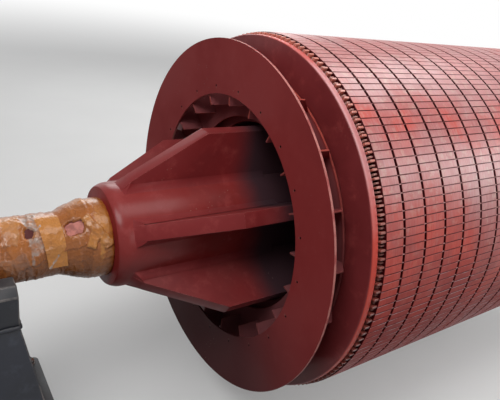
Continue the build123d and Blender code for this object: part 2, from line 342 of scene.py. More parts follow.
class Effects:
    """Shader groups that several materials share."""

    def __init__(self) -> None:
        """Build each group once."""
        self.place = self.build_place()
        self.mottle = self.build_mottle()
        self.dust = self.build_dust()
        self.chips = self.build_chips()
        self.peel = self.build_peel()

    @staticmethod
    def build_place() -> Tree:
        """Make the group that gives a point's place around the shaft.

        Degrees count from 0 at the top to 180 at the bottom on both flanks. Angle is the same with an uneven
        border, for tones that change by height: dust, wear and painted sheen.
        """
        numbers = ("Along", "Turns", "Radius", "Degrees", "Angle")
        outputs = (("Point", "vector"), *((name, "float") for name in numbers))
        g, _, out = new_group("Place on shaft", (), outputs)
        point = g.add("ShaderNodeTexCoord").outputs["Object"]
        parts = g.add("ShaderNodeSeparateXYZ", {0: point}).outputs
        up = g.minus(parts[2], AXIS_HEIGHT)
        side = g.times(parts[1], -1.0)
        turns = g.share(g.math("ARCTAN2", side, up), math.tau)
        radius = g.math("SQRT", g.plus(g.times(side, side), g.times(up, up)))
        degrees = g.times(g.math("ABSOLUTE", turns), 360.0)
        slant = g.times(g.minus(parts[0], BORDER_START), BORDER_SLANT)
        broad = g.times(g.minus(g.noise(point, 3.1, 2.0, 0.5), 0.5), BORDER_BROAD)
        fine = g.times(g.minus(g.noise(point, 17.0, 3.0, 0.6), 0.5), BORDER_FINE)
        angle = g.plus(g.plus(degrees, slant), g.plus(broad, fine))
        for socket, value in zip(out, (point, parts[0], turns, radius, degrees, angle)):
            g.feed(socket, value)
        return g.tree

    @staticmethod
    def build_mottle() -> Tree:
        """Make the group that breaks up a coat of paint into uneven tones."""
        colours = ((name, "colour", None) for name in ("Base", "Light", "Dark"))
        inputs = (("Point", "vector", None), *colours, ("Scale", "float", 4.0), ("Spread", "float", 0.5))
        g, put, out = new_group("Paint mottle", inputs, COAT_OUTPUTS)
        point, scale = put["Point"], put["Scale"]
        broad = g.noise(point, scale, 4.0, 0.6)
        fine = g.noise(point, g.times(scale, 5.3), 5.0, 0.65)
        dark = g.times(g.ramp(broad, 0.42, 0.72), put["Spread"])
        light = g.times(g.ramp(fine, 0.5, 0.78), put["Spread"])
        tone = g.blend(dark, put["Base"], put["Dark"])
        g.feed(out["Color"], g.blend(light, tone, put["Light"]))
        g.feed(out["Mask"], broad)
        return g.tree

    @staticmethod
    def build_dust() -> Tree:
        """Make the group that lets dust lie on faces that look up."""
        colours = ((name, "colour", None) for name in ("Color", "Dust"))
        inputs = (("Point", "vector", None), *colours, ("Amount", "float", 0.4))
        g, put, out = new_group("Settled dust", inputs, COAT_OUTPUTS)
        normal = g.add("ShaderNodeNewGeometry").outputs["Normal"]
        up = g.add("ShaderNodeSeparateXYZ", {0: normal}).outputs[2]
        cloud = g.ramp(g.noise(put["Point"], 9.0, 5.0, 0.6), 0.35, 0.7, 0.35, 1.0)
        facing = g.ramp(up, 0.25, 0.95)
        mask = g.times(g.times(facing, cloud), put["Amount"])
        g.feed(out["Color"], g.blend(mask, put["Color"], put["Dust"]))
        g.feed(out["Mask"], mask)
        return g.tree

    @staticmethod
    def build_chips() -> Tree:
        """Make the group that scatters small chips and scuffs."""
        inputs = (("Point", "vector", None), ("Scale", "float", 60.0), ("Reach", "float", 0.16))
        g, put, out = new_group("Paint chips", inputs, (("Mask", "float"),))
        spots = g.add("ShaderNodeTexVoronoi", {"Vector": put["Point"], "Scale": put["Scale"]})
        near = g.math("LESS_THAN", spots.outputs["Distance"], put["Reach"])
        patch = g.ramp(g.noise(put["Point"], 6.0, 2.0), 0.6, 0.66)
        g.feed(out["Mask"], g.times(near, patch))
        return g.tree

    @staticmethod
    def build_peel() -> Tree:
        """Make the group that gives the slight waviness of sprayed or brushed paint."""
        inputs = (("Point", "vector", None), ("Scale", "float", 90.0), ("Waves", "float", 0.5))
        g, put, out = new_group("Paint skin", inputs, (("Height", "float"),))
        fine = g.noise(put["Point"], put["Scale"], 2.0, 0.5)
        slow = g.noise(put["Point"], g.times(put["Scale"], 0.11), 3.0, 0.5)
        swell = g.times(slow, put["Waves"])
        g.feed(out["Height"], g.plus(g.times(fine, 0.25), swell))
        return g.tree


class Coat(Graph):
    """Graph of one material, with its shader and the place of the point that is shaded."""

    def __init__(self, name: str, effects: Effects) -> None:
        """Start the material.

        Args:
            name: Name of the material.
            effects: Shared shader groups.
        """
        self.material = bpy.data.materials.new(name)
        self.material.use_nodes = True
        super().__init__(self.material.node_tree)
        self.shader = self.tree.nodes["Principled BSDF"]
        self.effects = effects
        self.place = self.group(effects.place)
        self.point = self.place["Point"]

    def shade(self, inputs: dict[str, Any]) -> None:
        """Link or set several inputs of the shader."""
        self.wire(self.shader, inputs)

    def bump(self, height: Any, strength: float, distance: float) -> None:
        """Let a height bend the shader's normal."""
        inputs = {"Strength": strength, "Distance": distance, "Height": height}
        self.shade({"Normal": self.first("ShaderNodeBump", inputs)})

    def chips(self, scale: float, reach: float) -> Socket:
        """Give the mask of small chips and scuffs."""
        inputs = {"Point": self.point, "Scale": scale, "Reach": reach}
        return self.group(self.effects.chips, inputs)["Mask"]

    def skin(self, scale: float, waves: float) -> Socket:
        """Give the height of the paint's waviness."""
        inputs = {"Point": self.point, "Scale": scale, "Waves": waves}
        return self.group(self.effects.peel, inputs)["Height"]

    def tones(self, paint: Any, scale: float, spread: float, dust: float) -> tuple[Socket, Any]:
        """Break a paint up into uneven tones and let dust settle on it.

        Args:
            paint: Finish with the colours base, light, dark and dust.
            scale: Scale of the tones.
            spread: Strength of the tones.
            dust: Amount of dust.

        Returns:
            The mask of the tones, and the colour and mask of the dusty paint.
        """
        tones = {"Point": self.point, "Base": paint.base, "Light": paint.light, "Dark": paint.dark}
        mottle = self.group(self.effects.mottle, {**tones, "Scale": scale, "Spread": spread})
        settled = {"Point": self.point, "Color": mottle["Color"], "Dust": paint.dust, "Amount": dust}
        return mottle["Mask"], self.group(self.effects.dust, settled)


class Finish(ABC):
    """Recipe of one material."""

    name: str

    @abstractmethod
    def cover(self, g: Coat) -> None:
        """Wire the look."""

    def build(self, effects: Effects) -> Material:
        """Make the material with the shared shader groups."""
        coat = Coat(self.name, effects)
        self.cover(coat)
        return coat.material


@dataclass(frozen=True)
class OxidePaint(Finish):
    """Satin red-oxide paint over steel, with painted shade and painted glints where a finish asks for them.
    """

    name: str
    base: Colour
    light: Colour = tint(168, 78, 76)
    dark: Colour = tint(104, 32, 34)
    dust: Colour = tint(158, 92, 88)
    chip: Colour = tint(150, 122, 110)
    roughness: float = 0.38
    dust_amount: float = 0.2
    bump: float = 0.12
    specular: float = 0.2
    # Painted shade in and round the balance holes, its breadth and colour, and pale chips beside them
    hole_shade_and_chips: bool = False
    chip_breadth: float = 0.0072
    hole_shade_breadth: float = 0.0010
    wall: Colour = tint(38, 16, 18)
    spread: float = 0.55
    # Colour, radius and reach of painted shade inside the fan's eye and deep inside the rotor's ends
    painted_shade: Colour = tint(100, 56, 57)
    painted_shade_radius: float = 0.0
    radius_fade: float = 0.012
    painted_shade_reach: float = 0.0
    reach_fade: float = 0.13
    # Painted shade that darkens the paint towards the bottom: its strength, start and spread in degrees, and
    # its colour
    low_painted_shade: float = 0.0
    low_shade_from: float = 100.0
    low_shade_fade: float = 60.0
    low_shade_tone: Colour = tint(84, 38, 40)
    # Colour and strength of the broken edges' lighter tone: partly wear, partly a painted glint
    edge: Colour = tint(192, 118, 112)
    edge_wear_and_glint: float = 0.0
    # Whether the ring's outer face gets dust, painted sheen and painted highlight stripes
    pale_rim: bool = False

    def cover(self, g: Coat) -> None:
        """Wire the look.

        Args:
            g: Graph of the material.
        """
        point = g.point
        mask, dusty = g.tones(self, 3.2, self.spread, self.dust_amount)
        colour = dusty["Color"]
        # Painted shade on the inner plates below a radius, inside the fan's eye
        if self.painted_shade_radius > 0:
            unshaded_from = self.painted_shade_radius - self.radius_fade
            inside = g.ramp(g.place["Radius"], unshaded_from, self.painted_shade_radius, 1.0, 0.0)
            colour = g.blend(inside, colour, self.painted_shade)
        # Painted shade deep inside the rotor's ends, with an uneven border
        if self.painted_shade_reach > 0:
            drift = g.times(g.noise(point, 7.0, 3.0), 0.06)
            reach = g.plus(g.math("ABSOLUTE", g.place["Along"]), drift)
            deep_shade = g.ramp(reach, self.painted_shade_reach - self.reach_fade, self.painted_shade_reach, 0.95, 0.0)
            colour = g.blend(deep_shade, colour, self.painted_shade)
        # Broken edges lightened: partly worn paint, partly a painted glint
        if self.edge_wear_and_glint > 0:
            worn = g.mark("worn")
            ragged = g.ramp(g.noise(point, 26.0, 4.0, 0.6), 0.36, 0.56, 0.3 * self.edge_wear_and_glint, self.edge_wear_and_glint)
            colour = g.blend(g.times(worn, ragged), colour, self.edge)
        # Painted shade: darker towards the bottom
        if self.low_painted_shade > 0:
            full_shade_from = self.low_shade_from + self.low_shade_fade
            low = g.ramp(g.place["Degrees"], self.low_shade_from, full_shade_from, 0.0, self.low_painted_shade)
            colour = g.blend(low, colour, self.low_shade_tone)
        # Ring's outer face: dust and painted sheen above, painted highlight stripes
        if self.pale_rim:
            colour = self.rim_tones(g, colour)
        chips = g.chips(70.0, 0.12)
        # Painted shade in and round the balance holes, and pale chips beside them
        if self.hole_shade_and_chips:
            wall = g.math("LESS_THAN", self.from_hole(g, 0.0), HOLE_RADIUS + self.hole_shade_breadth)
            colour = g.blend(wall, colour, self.wall)
            ragged_chip = g.times(g.noise(point, 260.0, 2.0), self.chip_breadth)
            near = g.math("LESS_THAN", self.from_hole(g, self.chip_breadth), ragged_chip)
            chips = g.math("MAXIMUM", chips, g.times(near, 0.25))
        paint = g.blend(chips, colour, self.chip)
        uneven = g.ramp(mask, 0.3, 0.7, self.roughness - 0.07, self.roughness + 0.1)
        rough = g.plus(uneven, g.times(dusty["Mask"], 0.25))
        g.shade({"Base Color": paint, "Roughness": rough, "Specular IOR Level": self.specular})
        skin = g.skin(160.0, 0.8)
        height = g.minus(skin, g.times(chips, 0.6))
        g.bump(height, self.bump, PAINT_RELIEF)

    @staticmethod
    def rim_tones(g: Coat, colour: Socket) -> Socket:
        """Make the ring's outer face pale above, partly dust and partly painted sheen, with painted highlight
        stripes across it, and leave it bright red below.

        Args:
            g: Graph of the material.
            colour: Paint before the change.

        Returns:
            The changed colour.
        """
        rim = g.ramp(g.place["Radius"], RING_RADIUS - 0.0032, RING_RADIUS - 0.0008)
        angle = g.place["Angle"]
        pale = g.stops(angle, RING_DUST_AND_SHEEN, HALF_TURN)
        band = g.share(g.minus(g.math("ABSOLUTE", g.place["Along"]), RING_REAR), RING_THICKNESS)
        stripe = g.stops(band, RING_SHEEN_STRIPE, 1.0)
        bright = g.blend(g.ramp(angle, 100.0, 150.0, 0.9, 0.4), colour, tint(214, 68, 48))
        light = g.blend(stripe, tint(186, 104, 104), tint(212, 152, 152))
        return g.blend(rim, colour, g.blend(pale, bright, light))

    @staticmethod
    def from_hole(g: Coat, inward: float) -> Socket:
        """Measure how far a point lies from a spot at the nearest balance hole.

        Args:
            g: Graph of the material.
            inward: Distance of the spot from the hole's middle, towards the shaft.

        Returns:
            The distance in metres.
        """
        turned = g.minus(g.place["Turns"], HOLE_PHASE / math.tau)
        step = g.times(turned, float(HOLE_COUNT))
        offset = g.minus(step, g.math("ROUND", step))
        across = g.times(offset, math.tau * HOLE_CIRCLE / HOLE_COUNT)
        height = g.minus(g.place["Radius"], HOLE_CIRCLE - inward)
        squares = g.plus(g.times(across, across), g.times(height, height))
        return g.math("SQRT", squares)


@dataclass(frozen=True)
class CoreVarnish(Finish):
    """Red varnish over the stacked sheets, pale on top with dust and a painted sheen, uneven from tooth to
    tooth, with painted shade in the slots and ducts and painted glints on the lower teeth's edges.
    """

    name: str = "core_varnish"
    base: Colour = tint(144, 50, 47)
    red: Colour = tint(200, 80, 68)
    pale: Colour = tint(198, 148, 147)
    grey: Colour = tint(196, 164, 168)
    beige: Colour = tint(198, 176, 158)
    deep_shade: Colour = tint(66, 8, 14)
    roughness: float = 0.36
    edge_share: float = 0.13

    def cover(self, g: Coat) -> None:
        """Wire the look.

        Args:
            g: Graph of the material.
        """
        point, along, turns = g.point, g.place["Along"], g.place["Turns"]
        teeth = g.minus(g.times(turns, float(BAR_COUNT)), BAR_PHASE / BAR_PITCH)
        packets = g.share(along, DUCT_PITCH)
        tooth = g.math("FLOOR", teeth)
        cell = g.first("ShaderNodeCombineXYZ", {0: tooth, 1: g.math("FLOOR", packets)})
        chance = g.first("ShaderNodeTexWhiteNoise", {"Vector": cell}, noise_dimensions="3D")
        angle = g.place["Angle"]
        # Pale on top: partly dust, partly a painted sheen where highlights fall
        pale_share = g.stops(angle, PALE_DUST_AND_SHEEN, HALF_TURN)
        reddened = g.stops(angle, LEFT_RED, HALF_TURN)
        tone = g.blend(g.times(pale_share, g.ramp(chance, 0.0, 1.0, 0.72, 1.0)), self.base, self.pale)
        patch = g.ramp(g.noise(point, 4.6, 5.0, 0.62), 0.40, 0.60, 0.35, 1.0)
        red = g.times(g.times(patch, reddened), g.ramp(chance, 0.0, 0.8, 0.65, 1.0))
        tone = g.blend(red, tone, self.red)
        stretched = {0: g.times(along, 210.0), 1: g.times(turns, 30.0), 2: tooth}
        streak = g.noise(g.first("ShaderNodeCombineXYZ", stretched), 1.0, 4.0, 0.6)
        # Beige spots and grey streaks follow the pale share, so they too are partly painted sheen
        spots = g.ramp(g.noise(point, 38.0, 4.0, 0.65), 0.5, 0.7, 0.0, 0.5)
        tone = g.blend(g.times(spots, pale_share), tone, self.beige)
        tone = g.blend(g.times(g.ramp(streak, 0.45, 0.8, 0.0, 0.5), pale_share), tone, self.grey)
        tone = g.blend(g.ramp(streak, 0.2, 0.46, 0.35, 0.0), tone, self.base)
        # Pale line on each tooth's upper edge in the lower zone: partly scraped paint, partly a painted glint
        upper_edge = g.math("GREATER_THAN", self.edge_share, g.math("FRACT", teeth))
        scrape_and_glint = g.times(upper_edge, g.ramp(angle, 76.0, 92.0))
        scrape_and_glint = g.times(scrape_and_glint, g.ramp(g.noise(point, 24.0, 3.0), 0.38, 0.6, 0.15, 0.85))
        tone = g.blend(scrape_and_glint, tone, self.grey)
        # Painted shade on the slot walls and duct faces below the crown
        inner = g.ramp(g.place["Radius"], CORE_RADIUS - 0.0013, CORE_RADIUS - 0.0004, 1.0, 0.0)
        colour = g.blend(inner, tone, self.deep_shade)
        gloss = g.ramp(g.noise(point, 2.3, 3.0, 0.5), 0.35, 0.65, self.roughness - 0.06, self.roughness + 0.1)
        rough = g.plus(gloss, g.times(chance, 0.08))
        sheets = g.add("ShaderNodeTexWave", {"Vector": point, "Scale": 260.0, "Distortion": 0.6})
        skin = g.skin(120.0, 1.0)
        height = g.plus(skin, g.times(sheets.outputs[1], 0.05))
        g.bump(height, 0.14, PAINT_RELIEF)
        coat = g.ramp(angle, 62.0, 92.0, 0.5, 0.0)
        g.shade({"Base Color": colour, "Roughness": rough, "Specular IOR Level": 0.06})
        g.shade({"Coat Weight": coat, "Coat Roughness": 0.37})


@dataclass(frozen=True)
class SlotVarnish(Finish):
    """Dark varnish on the bars inside the slots, partly dirt and partly painted shade, with a painted glint
    on the flanks where they cross a duct.
    """

    name: str = "slot_varnish"
    # Dark slot-line colour: partly dirt, partly painted shade
    base: Colour = tint(98, 30, 35)
    bridge: Colour = tint(206, 148, 144)
    roughness: float = 0.35

    def cover(self, g: Coat) -> None:
        """Wire the look.

        Args:
            g: Graph of the material.
        """
        shifted = g.plus(g.share(g.place["Along"], DUCT_PITCH), 0.5)
        offset = g.math("ABSOLUTE", g.minus(shifted, g.math("ROUND", shifted)))
        crossing = g.math("LESS_THAN", offset, DUCT_WIDTH / 2 / DUCT_PITCH)
        lip = g.math("GREATER_THAN", g.place["Radius"], CORE_RADIUS - 0.0035)
        # Painted glint where the bars cross a duct, stronger towards the bottom
        worn = g.ramp(g.noise(g.point, 30.0, 3.0), 0.35, 0.6, 0.45, 1.0)
        mask = g.times(g.times(crossing, lip), worn)
        mask = g.times(mask, g.ramp(g.place["Degrees"], 44.0, 62.0, 0.12, 1.0))
        colour = g.blend(mask, self.base, self.bridge)
        g.bump(g.noise(g.point, 180.0, 2.0), 0.12, 0.002)
        rough = g.ramp(worn, 0.45, 1.0, self.roughness + 0.1, self.roughness)
        g.shade({"Base Color": colour, "Roughness": rough, "Specular IOR Level": 0.15})


@dataclass(frozen=True)
class PackingTape(Finish):
    """Brown tape over clear film, wrinkled and glossy, with paint where it is torn away."""

    name: str = "packing_tape"
    base: Colour = tint(168, 98, 42)
    light: Colour = tint(200, 134, 66)
    dark: Colour = tint(124, 68, 30)
    film: Colour = tint(170, 152, 142)
    bare: Colour = tint(204, 132, 120)
    under: Colour = tint(84, 34, 32)

    def cover(self, g: Coat) -> None:
        """Wire the look.

        Args:
            g: Graph of the material.
        """
        point = g.point
        tone = g.mark("tone")
        clear = g.mark("film")
        torn = g.mark("bare")
        colour = g.blend(g.ramp(tone, 0.0, 0.5), self.dark, self.base)
        colour = g.blend(g.ramp(tone, 0.5, 1.0), colour, self.light)
        stain = g.ramp(g.noise(point, 16.0, 4.0, 0.6), 0.5, 0.75, 0.0, 0.5)
        colour = g.blend(stain, colour, self.dark)
        cloud = g.ramp(g.noise(point, 60.0, 4.0, 0.65), 0.42, 0.6, 0.35, 1.0)
        # Clear film, and on the flap's crease a painted glint
        colour = g.blend(g.times(clear, cloud), colour, self.film)
        patchy = g.ramp(g.noise(point, 45.0, 4.0, 0.6), 0.4, 0.65, 1.0, 0.55)
        colour = g.blend(g.ramp(torn, 0.4, 0.5), colour, self.under)
        colour = g.blend(g.times(g.ramp(torn, 0.8, 0.9), patchy), colour, self.bare)
        smooth = g.minus(1.0, g.ramp(torn, 0.4, 0.6))
        gloss = g.ramp(cloud, 0.35, 1.0, 0.34, 0.24)
        rough = g.plus(gloss, g.ramp(torn, 0.4, 0.6, 0.0, 0.3))
        swirl = g.add("ShaderNodeTexNoise", {"Vector": point, "Scale": 20.0}).outputs["Color"]
        bending = {0: swirl, 1: (0.014, 0.014, 0.014), 2: point}
        bent = g.first("ShaderNodeVectorMath", bending, operation="MULTIPLY_ADD")
        creases = g.add("ShaderNodeTexVoronoi", {"Vector": bent, "Scale": 46.0}, feature="DISTANCE_TO_EDGE")
        sharp = g.ramp(creases.outputs["Distance"], 0.0, 0.16, 1.0, 0.0)
        crumple = g.noise(point, 62.0, 2.5, 0.5)
        height = g.plus(g.times(sharp, 0.22), crumple)
        g.bump(g.times(height, smooth), 0.55, 0.004)
        glossy = g.ramp(g.place["Degrees"], 85.0, 125.0, 0.5, 0.04)
        g.shade({"Coat Weight": g.times(smooth, glossy), "Coat Roughness": 0.09})
        g.shade({"Base Color": colour, "Roughness": rough, "Specular IOR Level": 0.25})


@dataclass(frozen=True)
class StandPaint(Finish):
    """Near-black enamel on the stands, scuffed and dusty."""

    name: str = "stand_enamel"
    base: Colour = tint(30, 33, 44)
    light: Colour = tint(58, 62, 74)
    dark: Colour = tint(18, 20, 27)
    dust: Colour = tint(98, 94, 92)
    bare: Colour = tint(120, 112, 108)

    def cover(self, g: Coat) -> None:
        """Wire the look.

        Args:
            g: Graph of the material.
        """
        point = g.point
        _, dusty = g.tones(self, 5.0, 0.6, 0.55)
        chips = g.chips(48.0, 0.2)
        worn = g.mark("worn")
        pale_share = g.times(worn, g.ramp(g.noise(point, 22.0, 4.0, 0.6), 0.4, 0.62, 0.1, 0.8))
        tone = g.blend(pale_share, dusty["Color"], self.bare)
        rough = g.plus(g.times(dusty["Mask"], 0.4), 0.38)
        g.shade({"Base Color": g.blend(chips, tone, self.bare), "Roughness": rough})
        skin = g.skin(130.0, 0.6)
        height = g.minus(skin, g.times(chips, 0.5))
        g.bump(height, 0.15, PAINT_RELIEF)


@dataclass(frozen=True)
class ShaftFinish(OxidePaint):
    """Painted shaft body whose machined ends are left bare and oiled."""

    steel: Colour = tint(170, 164, 156)
    oil: Colour = tint(120, 96, 62)

    def cover(self, g: Coat) -> None:
        """Wire the look.

        Args:
            g: Graph of the material.
        """
        super().cover(g)
        normal = g.add("ShaderNodeNewGeometry").outputs["Normal"]
        flat = g.math("ABSOLUTE", g.first("ShaderNodeSeparateXYZ", {0: normal}))
        lit = g.ramp(g.place["Degrees"], 90.0, 125.0, 1.0, 0.1)
        coat = g.times(lit, g.ramp(flat, 0.5, 0.95, 0.45, 0.0))
        g.shade({"Coat Weight": coat, "Coat Roughness": 0.26})
        bare = g.math("GREATER_THAN", g.math("ABSOLUTE", g.place["Along"]), SHOULDER + 0.0005)
        painted = g.shader.inputs["Base Color"].links[0].from_socket
        film = g.ramp(g.noise(g.point, 9.0, 4.0, 0.6), 0.42, 0.66, 0.0, 0.7)
        metal = g.blend(film, self.steel, self.oil)
        g.feed(g.shader.inputs["Base Color"], g.blend(bare, painted, metal))
        g.feed(g.shader.inputs["Metallic"], g.times(bare, g.minus(1.0, film)))
        turning = g.add("ShaderNodeTexWave", {"Vector": g.point, "Scale": 520.0, "Distortion": 0.4})
        old_bump = g.shader.inputs["Normal"].links[0].from_node
        grooves = g.times(g.times(turning.outputs[1], bare), 0.25)
        old_height = old_bump.inputs["Height"].links[0].from_socket
        g.feed(old_bump.inputs["Height"], g.plus(old_height, grooves))


@dataclass(frozen=True)
class BoltSteel(Finish):
    """Blackened bolt steel with a little rust."""

    name: str = "bolt_steel"
    base: Colour = tint(74, 72, 72)
    rust: Colour = tint(120, 66, 40)

    def cover(self, g: Coat) -> None:
        """Wire the look.

        Args:
            g: Graph of the material.
        """
        point = g.point
        rust = g.ramp(g.noise(point, 60.0, 5.0, 0.7), 0.5, 0.62)
        rough = g.ramp(rust, 0.0, 1.0, 0.38, 0.8)
        colour = g.blend(rust, self.base, self.rust)
        g.shade({"Base Color": colour, "Metallic": g.minus(1.0, rust), "Roughness": rough})
        g.bump(g.noise(point, 300.0, 3.0), 0.2, 0.001)


# Painted shade deep inside the rotor's ends, for the spider and the shaft
INSIDE_PAINTED_SHADE = {"painted_shade": tint(64, 48, 54), "painted_shade_reach": 1.035}
# Glossy, with painted shade towards the bottom
VARNISHED = {"roughness": 0.3, "specular": 0.5, "low_painted_shade": 0.9, "low_shade_from": 32.0}
FINISHES = {
    # Edges partly worn, partly painted glint; painted shade deep inside
    "spider": OxidePaint(
        "spider_paint", tint(134, 43, 44), edge=tint(220, 156, 150), edge_wear_and_glint=1.0, **INSIDE_PAINTED_SHADE
    ),
    # Painted shade towards the bottom and in the balance holes; edges partly worn, partly painted glint
    "fan": OxidePaint(
        "fan_paint",
        tint(154, 58, 58),
        hole_shade_and_chips=True,
        roughness=0.5,
        specular=0.1,
        spread=0.25,
        low_painted_shade=1.0,
        low_shade_from=92.0,
        edge=tint(196, 132, 124),
        edge_wear_and_glint=0.75,
    ),
    # Painted shade inside the eye and towards the bottom; edges partly worn, partly painted glint
    "inner": OxidePaint(
        "fan_inner_paint",
        tint(146, 56, 56),
        roughness=0.5,
        specular=0.0,
        spread=0.35,
        painted_shade=tint(148, 80, 82),
        painted_shade_radius=0.562,
        low_shade_tone=tint(112, 66, 68),
        low_painted_shade=0.8,
        low_shade_from=28.0,
        edge=tint(190, 88, 74),
        edge_wear_and_glint=0.7,
    ),
    # Outer face with dust, painted sheen and painted highlight stripes
    "ring": OxidePaint("ring_paint", tint(132, 53, 55), roughness=0.36, pale_rim=True),
    # Edges partly worn, partly painted glint; painted shade towards the bottom
    "cage": OxidePaint(
        "cage_paint",
        tint(222, 132, 114),
        low_shade_tone=tint(112, 48, 42),
        edge=tint(232, 176, 160),
        edge_wear_and_glint=0.7,
        **VARNISHED,
    ),
    # Painted shade towards the bottom
    "finger": OxidePaint("finger_varnish", tint(238, 184, 172), low_shade_tone=tint(120, 60, 54), **VARNISHED),
    # Painted shade deep inside the rotor's ends
    "shaft": ShaftFinish("shaft_finish", tint(140, 44, 42), bump=0.2, specular=0.05, **INSIDE_PAINTED_SHADE),
    "core": CoreVarnish(),
    "slot": SlotVarnish(),
    "tape": PackingTape(),
    "stand": StandPaint(),
    "bolt": BoltSteel(),
}


def add_piece(name: str, mesh: Mesh, material: Material) -> Piece:
    """Put a mesh into the scene as a piece with one material.

    Args:
        name: Name of the piece.
        mesh: Mesh whose places are in the shared frame.
        material: Finish of the whole piece.

    Returns:
        The new object, at the origin.
    """
    piece = bpy.data.objects.new(name, mesh)
    bpy.context.scene.collection.objects.link(piece)
    mesh.materials.clear()
    mesh.materials.append(material)
    return piece


def settle(piece: Piece, names: Sequence[str] = ()) -> None:
    """Let a finished piece ride on the part's root body and hide the CAD nodes that it stands for.

    Args:
        piece: Finished piece.
        names: CAD nodes that the piece stands for.
    """
    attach(piece, "root")
    if names:
        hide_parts(*names)
    LOG.info("%s: %d faces", piece.name, len(piece.data.polygons))


def make_mesh(name: str, points: Sequence[Any], faces: Sequence[Any], edges: Sequence[Any] = ()) -> Mesh:
    """Make a mesh from its points, faces and bare edges."""
    mesh = bpy.data.meshes.new(name)
    mesh.from_pydata(points, edges, faces)
    return mesh


@contextmanager
def editing(mesh: Mesh) -> Iterator[bmesh.types.BMesh]:
    """Open a mesh for editing and write the result back."""
    body = bmesh.new()
    body.from_mesh(mesh)
    yield body
    body.to_mesh(mesh)
    body.free()


def shade(mesh: Mesh, angle: float = 32.0) -> None:
    """Shade a mesh smoothly, with sharp edges where faces meet at more than an angle in degrees."""
    mesh.polygons.foreach_set("use_smooth", [True] * len(mesh.polygons))
    mesh.set_sharp_from_angle(angle=math.radians(angle))


def face_outward(mesh: Mesh) -> None:
    """Turn every face of a closed mesh outwards."""
    with editing(mesh) as body:
        bmesh.ops.recalc_face_normals(body, faces=body.faces)


def on_shaft(along: float, angle: float, radius: float) -> Vector:
    """Give the point at a place along the shaft, an angle in radians from the top and a radius."""
    return Vector((along, -radius * math.sin(angle), AXIS_HEIGHT + radius * math.cos(angle)))


def softened_copy(
    node: str, width: float, material: Material, steps: int = 2, thin: float = 0.0
) -> None:
    """Stand in for a CAD node with a copy whose sharp edges are broken.

    Args:
        node: Name of the CAD node.
        width: Width of the broken edge.
        material: Finish of the copy.
        steps: Faces across the broken edge.
        thin: Area under which a face counts as an edge, in square metres.
    """
    source = frame["nodes"][node].data
    faces = [tuple(p.vertices) for p in source.polygons]
    mesh = make_mesh(f"{node}_dressed", [v.co.copy() for v in source.vertices], faces)
    with editing(mesh) as body:
        bmesh.ops.remove_doubles(body, verts=body.verts, dist=WELD_DISTANCE)
        flat = math.radians(FLAT_UNDER)
        bmesh.ops.dissolve_limit(body, angle_limit=flat, verts=body.verts, edges=body.edges)
        # Broken edges are marked; the stand's paint shows them as wear, the red paint partly as wear and
        # partly as a painted glint
        worn = body.faces.layers.float.new("worn")
        sharp = [
            edge
            for edge in body.edges
            if len(edge.link_faces) == 2 and edge.calc_face_angle() > math.radians(SHARP_OVER)
        ]
        broken = bmesh.ops.bevel(
            body, geom=sharp, offset=width, segments=steps, profile=0.5, affect="EDGES", clamp_overlap=True
        )
        for face in (*broken["faces"], *(face for face in body.faces if face.calc_area() < thin)):
            face[worn] = 1.0
    shade(mesh)
    settle(add_piece(f"{node}_dressed", mesh, material), [node])


def grow_piece(name: str, mesh: Mesh, material: Material, tree: Tree, values: dict[str, Any]) -> Piece:
    """Make a piece by running a Geometry Nodes tree on a mesh once.

    Args:
        name: Name of the piece.
        mesh: Mesh that the tree repeats or follows.
        material: Finish of the whole piece.
        tree: Geometry node tree.
        values: Values of the tree's other inputs by name.

    Returns:
        The piece with the finished mesh and no modifier.
    """
    piece = add_piece(name, mesh, material)
    values = {**values, "Finish": material}
    modifier = piece.modifiers.new("build", "NODES")
    modifier.node_group = tree
    for item in tree.interface.items_tree:
        if item.item_type == "SOCKET" and item.in_out == "INPUT" and item.name in values:
            modifier[item.identifier] = values[item.name]
    graph = bpy.context.evaluated_depsgraph_get()
    grown = bpy.data.meshes.new_from_object(piece.evaluated_get(graph))
    piece.modifiers.remove(modifier)
    piece.data = grown
    return piece


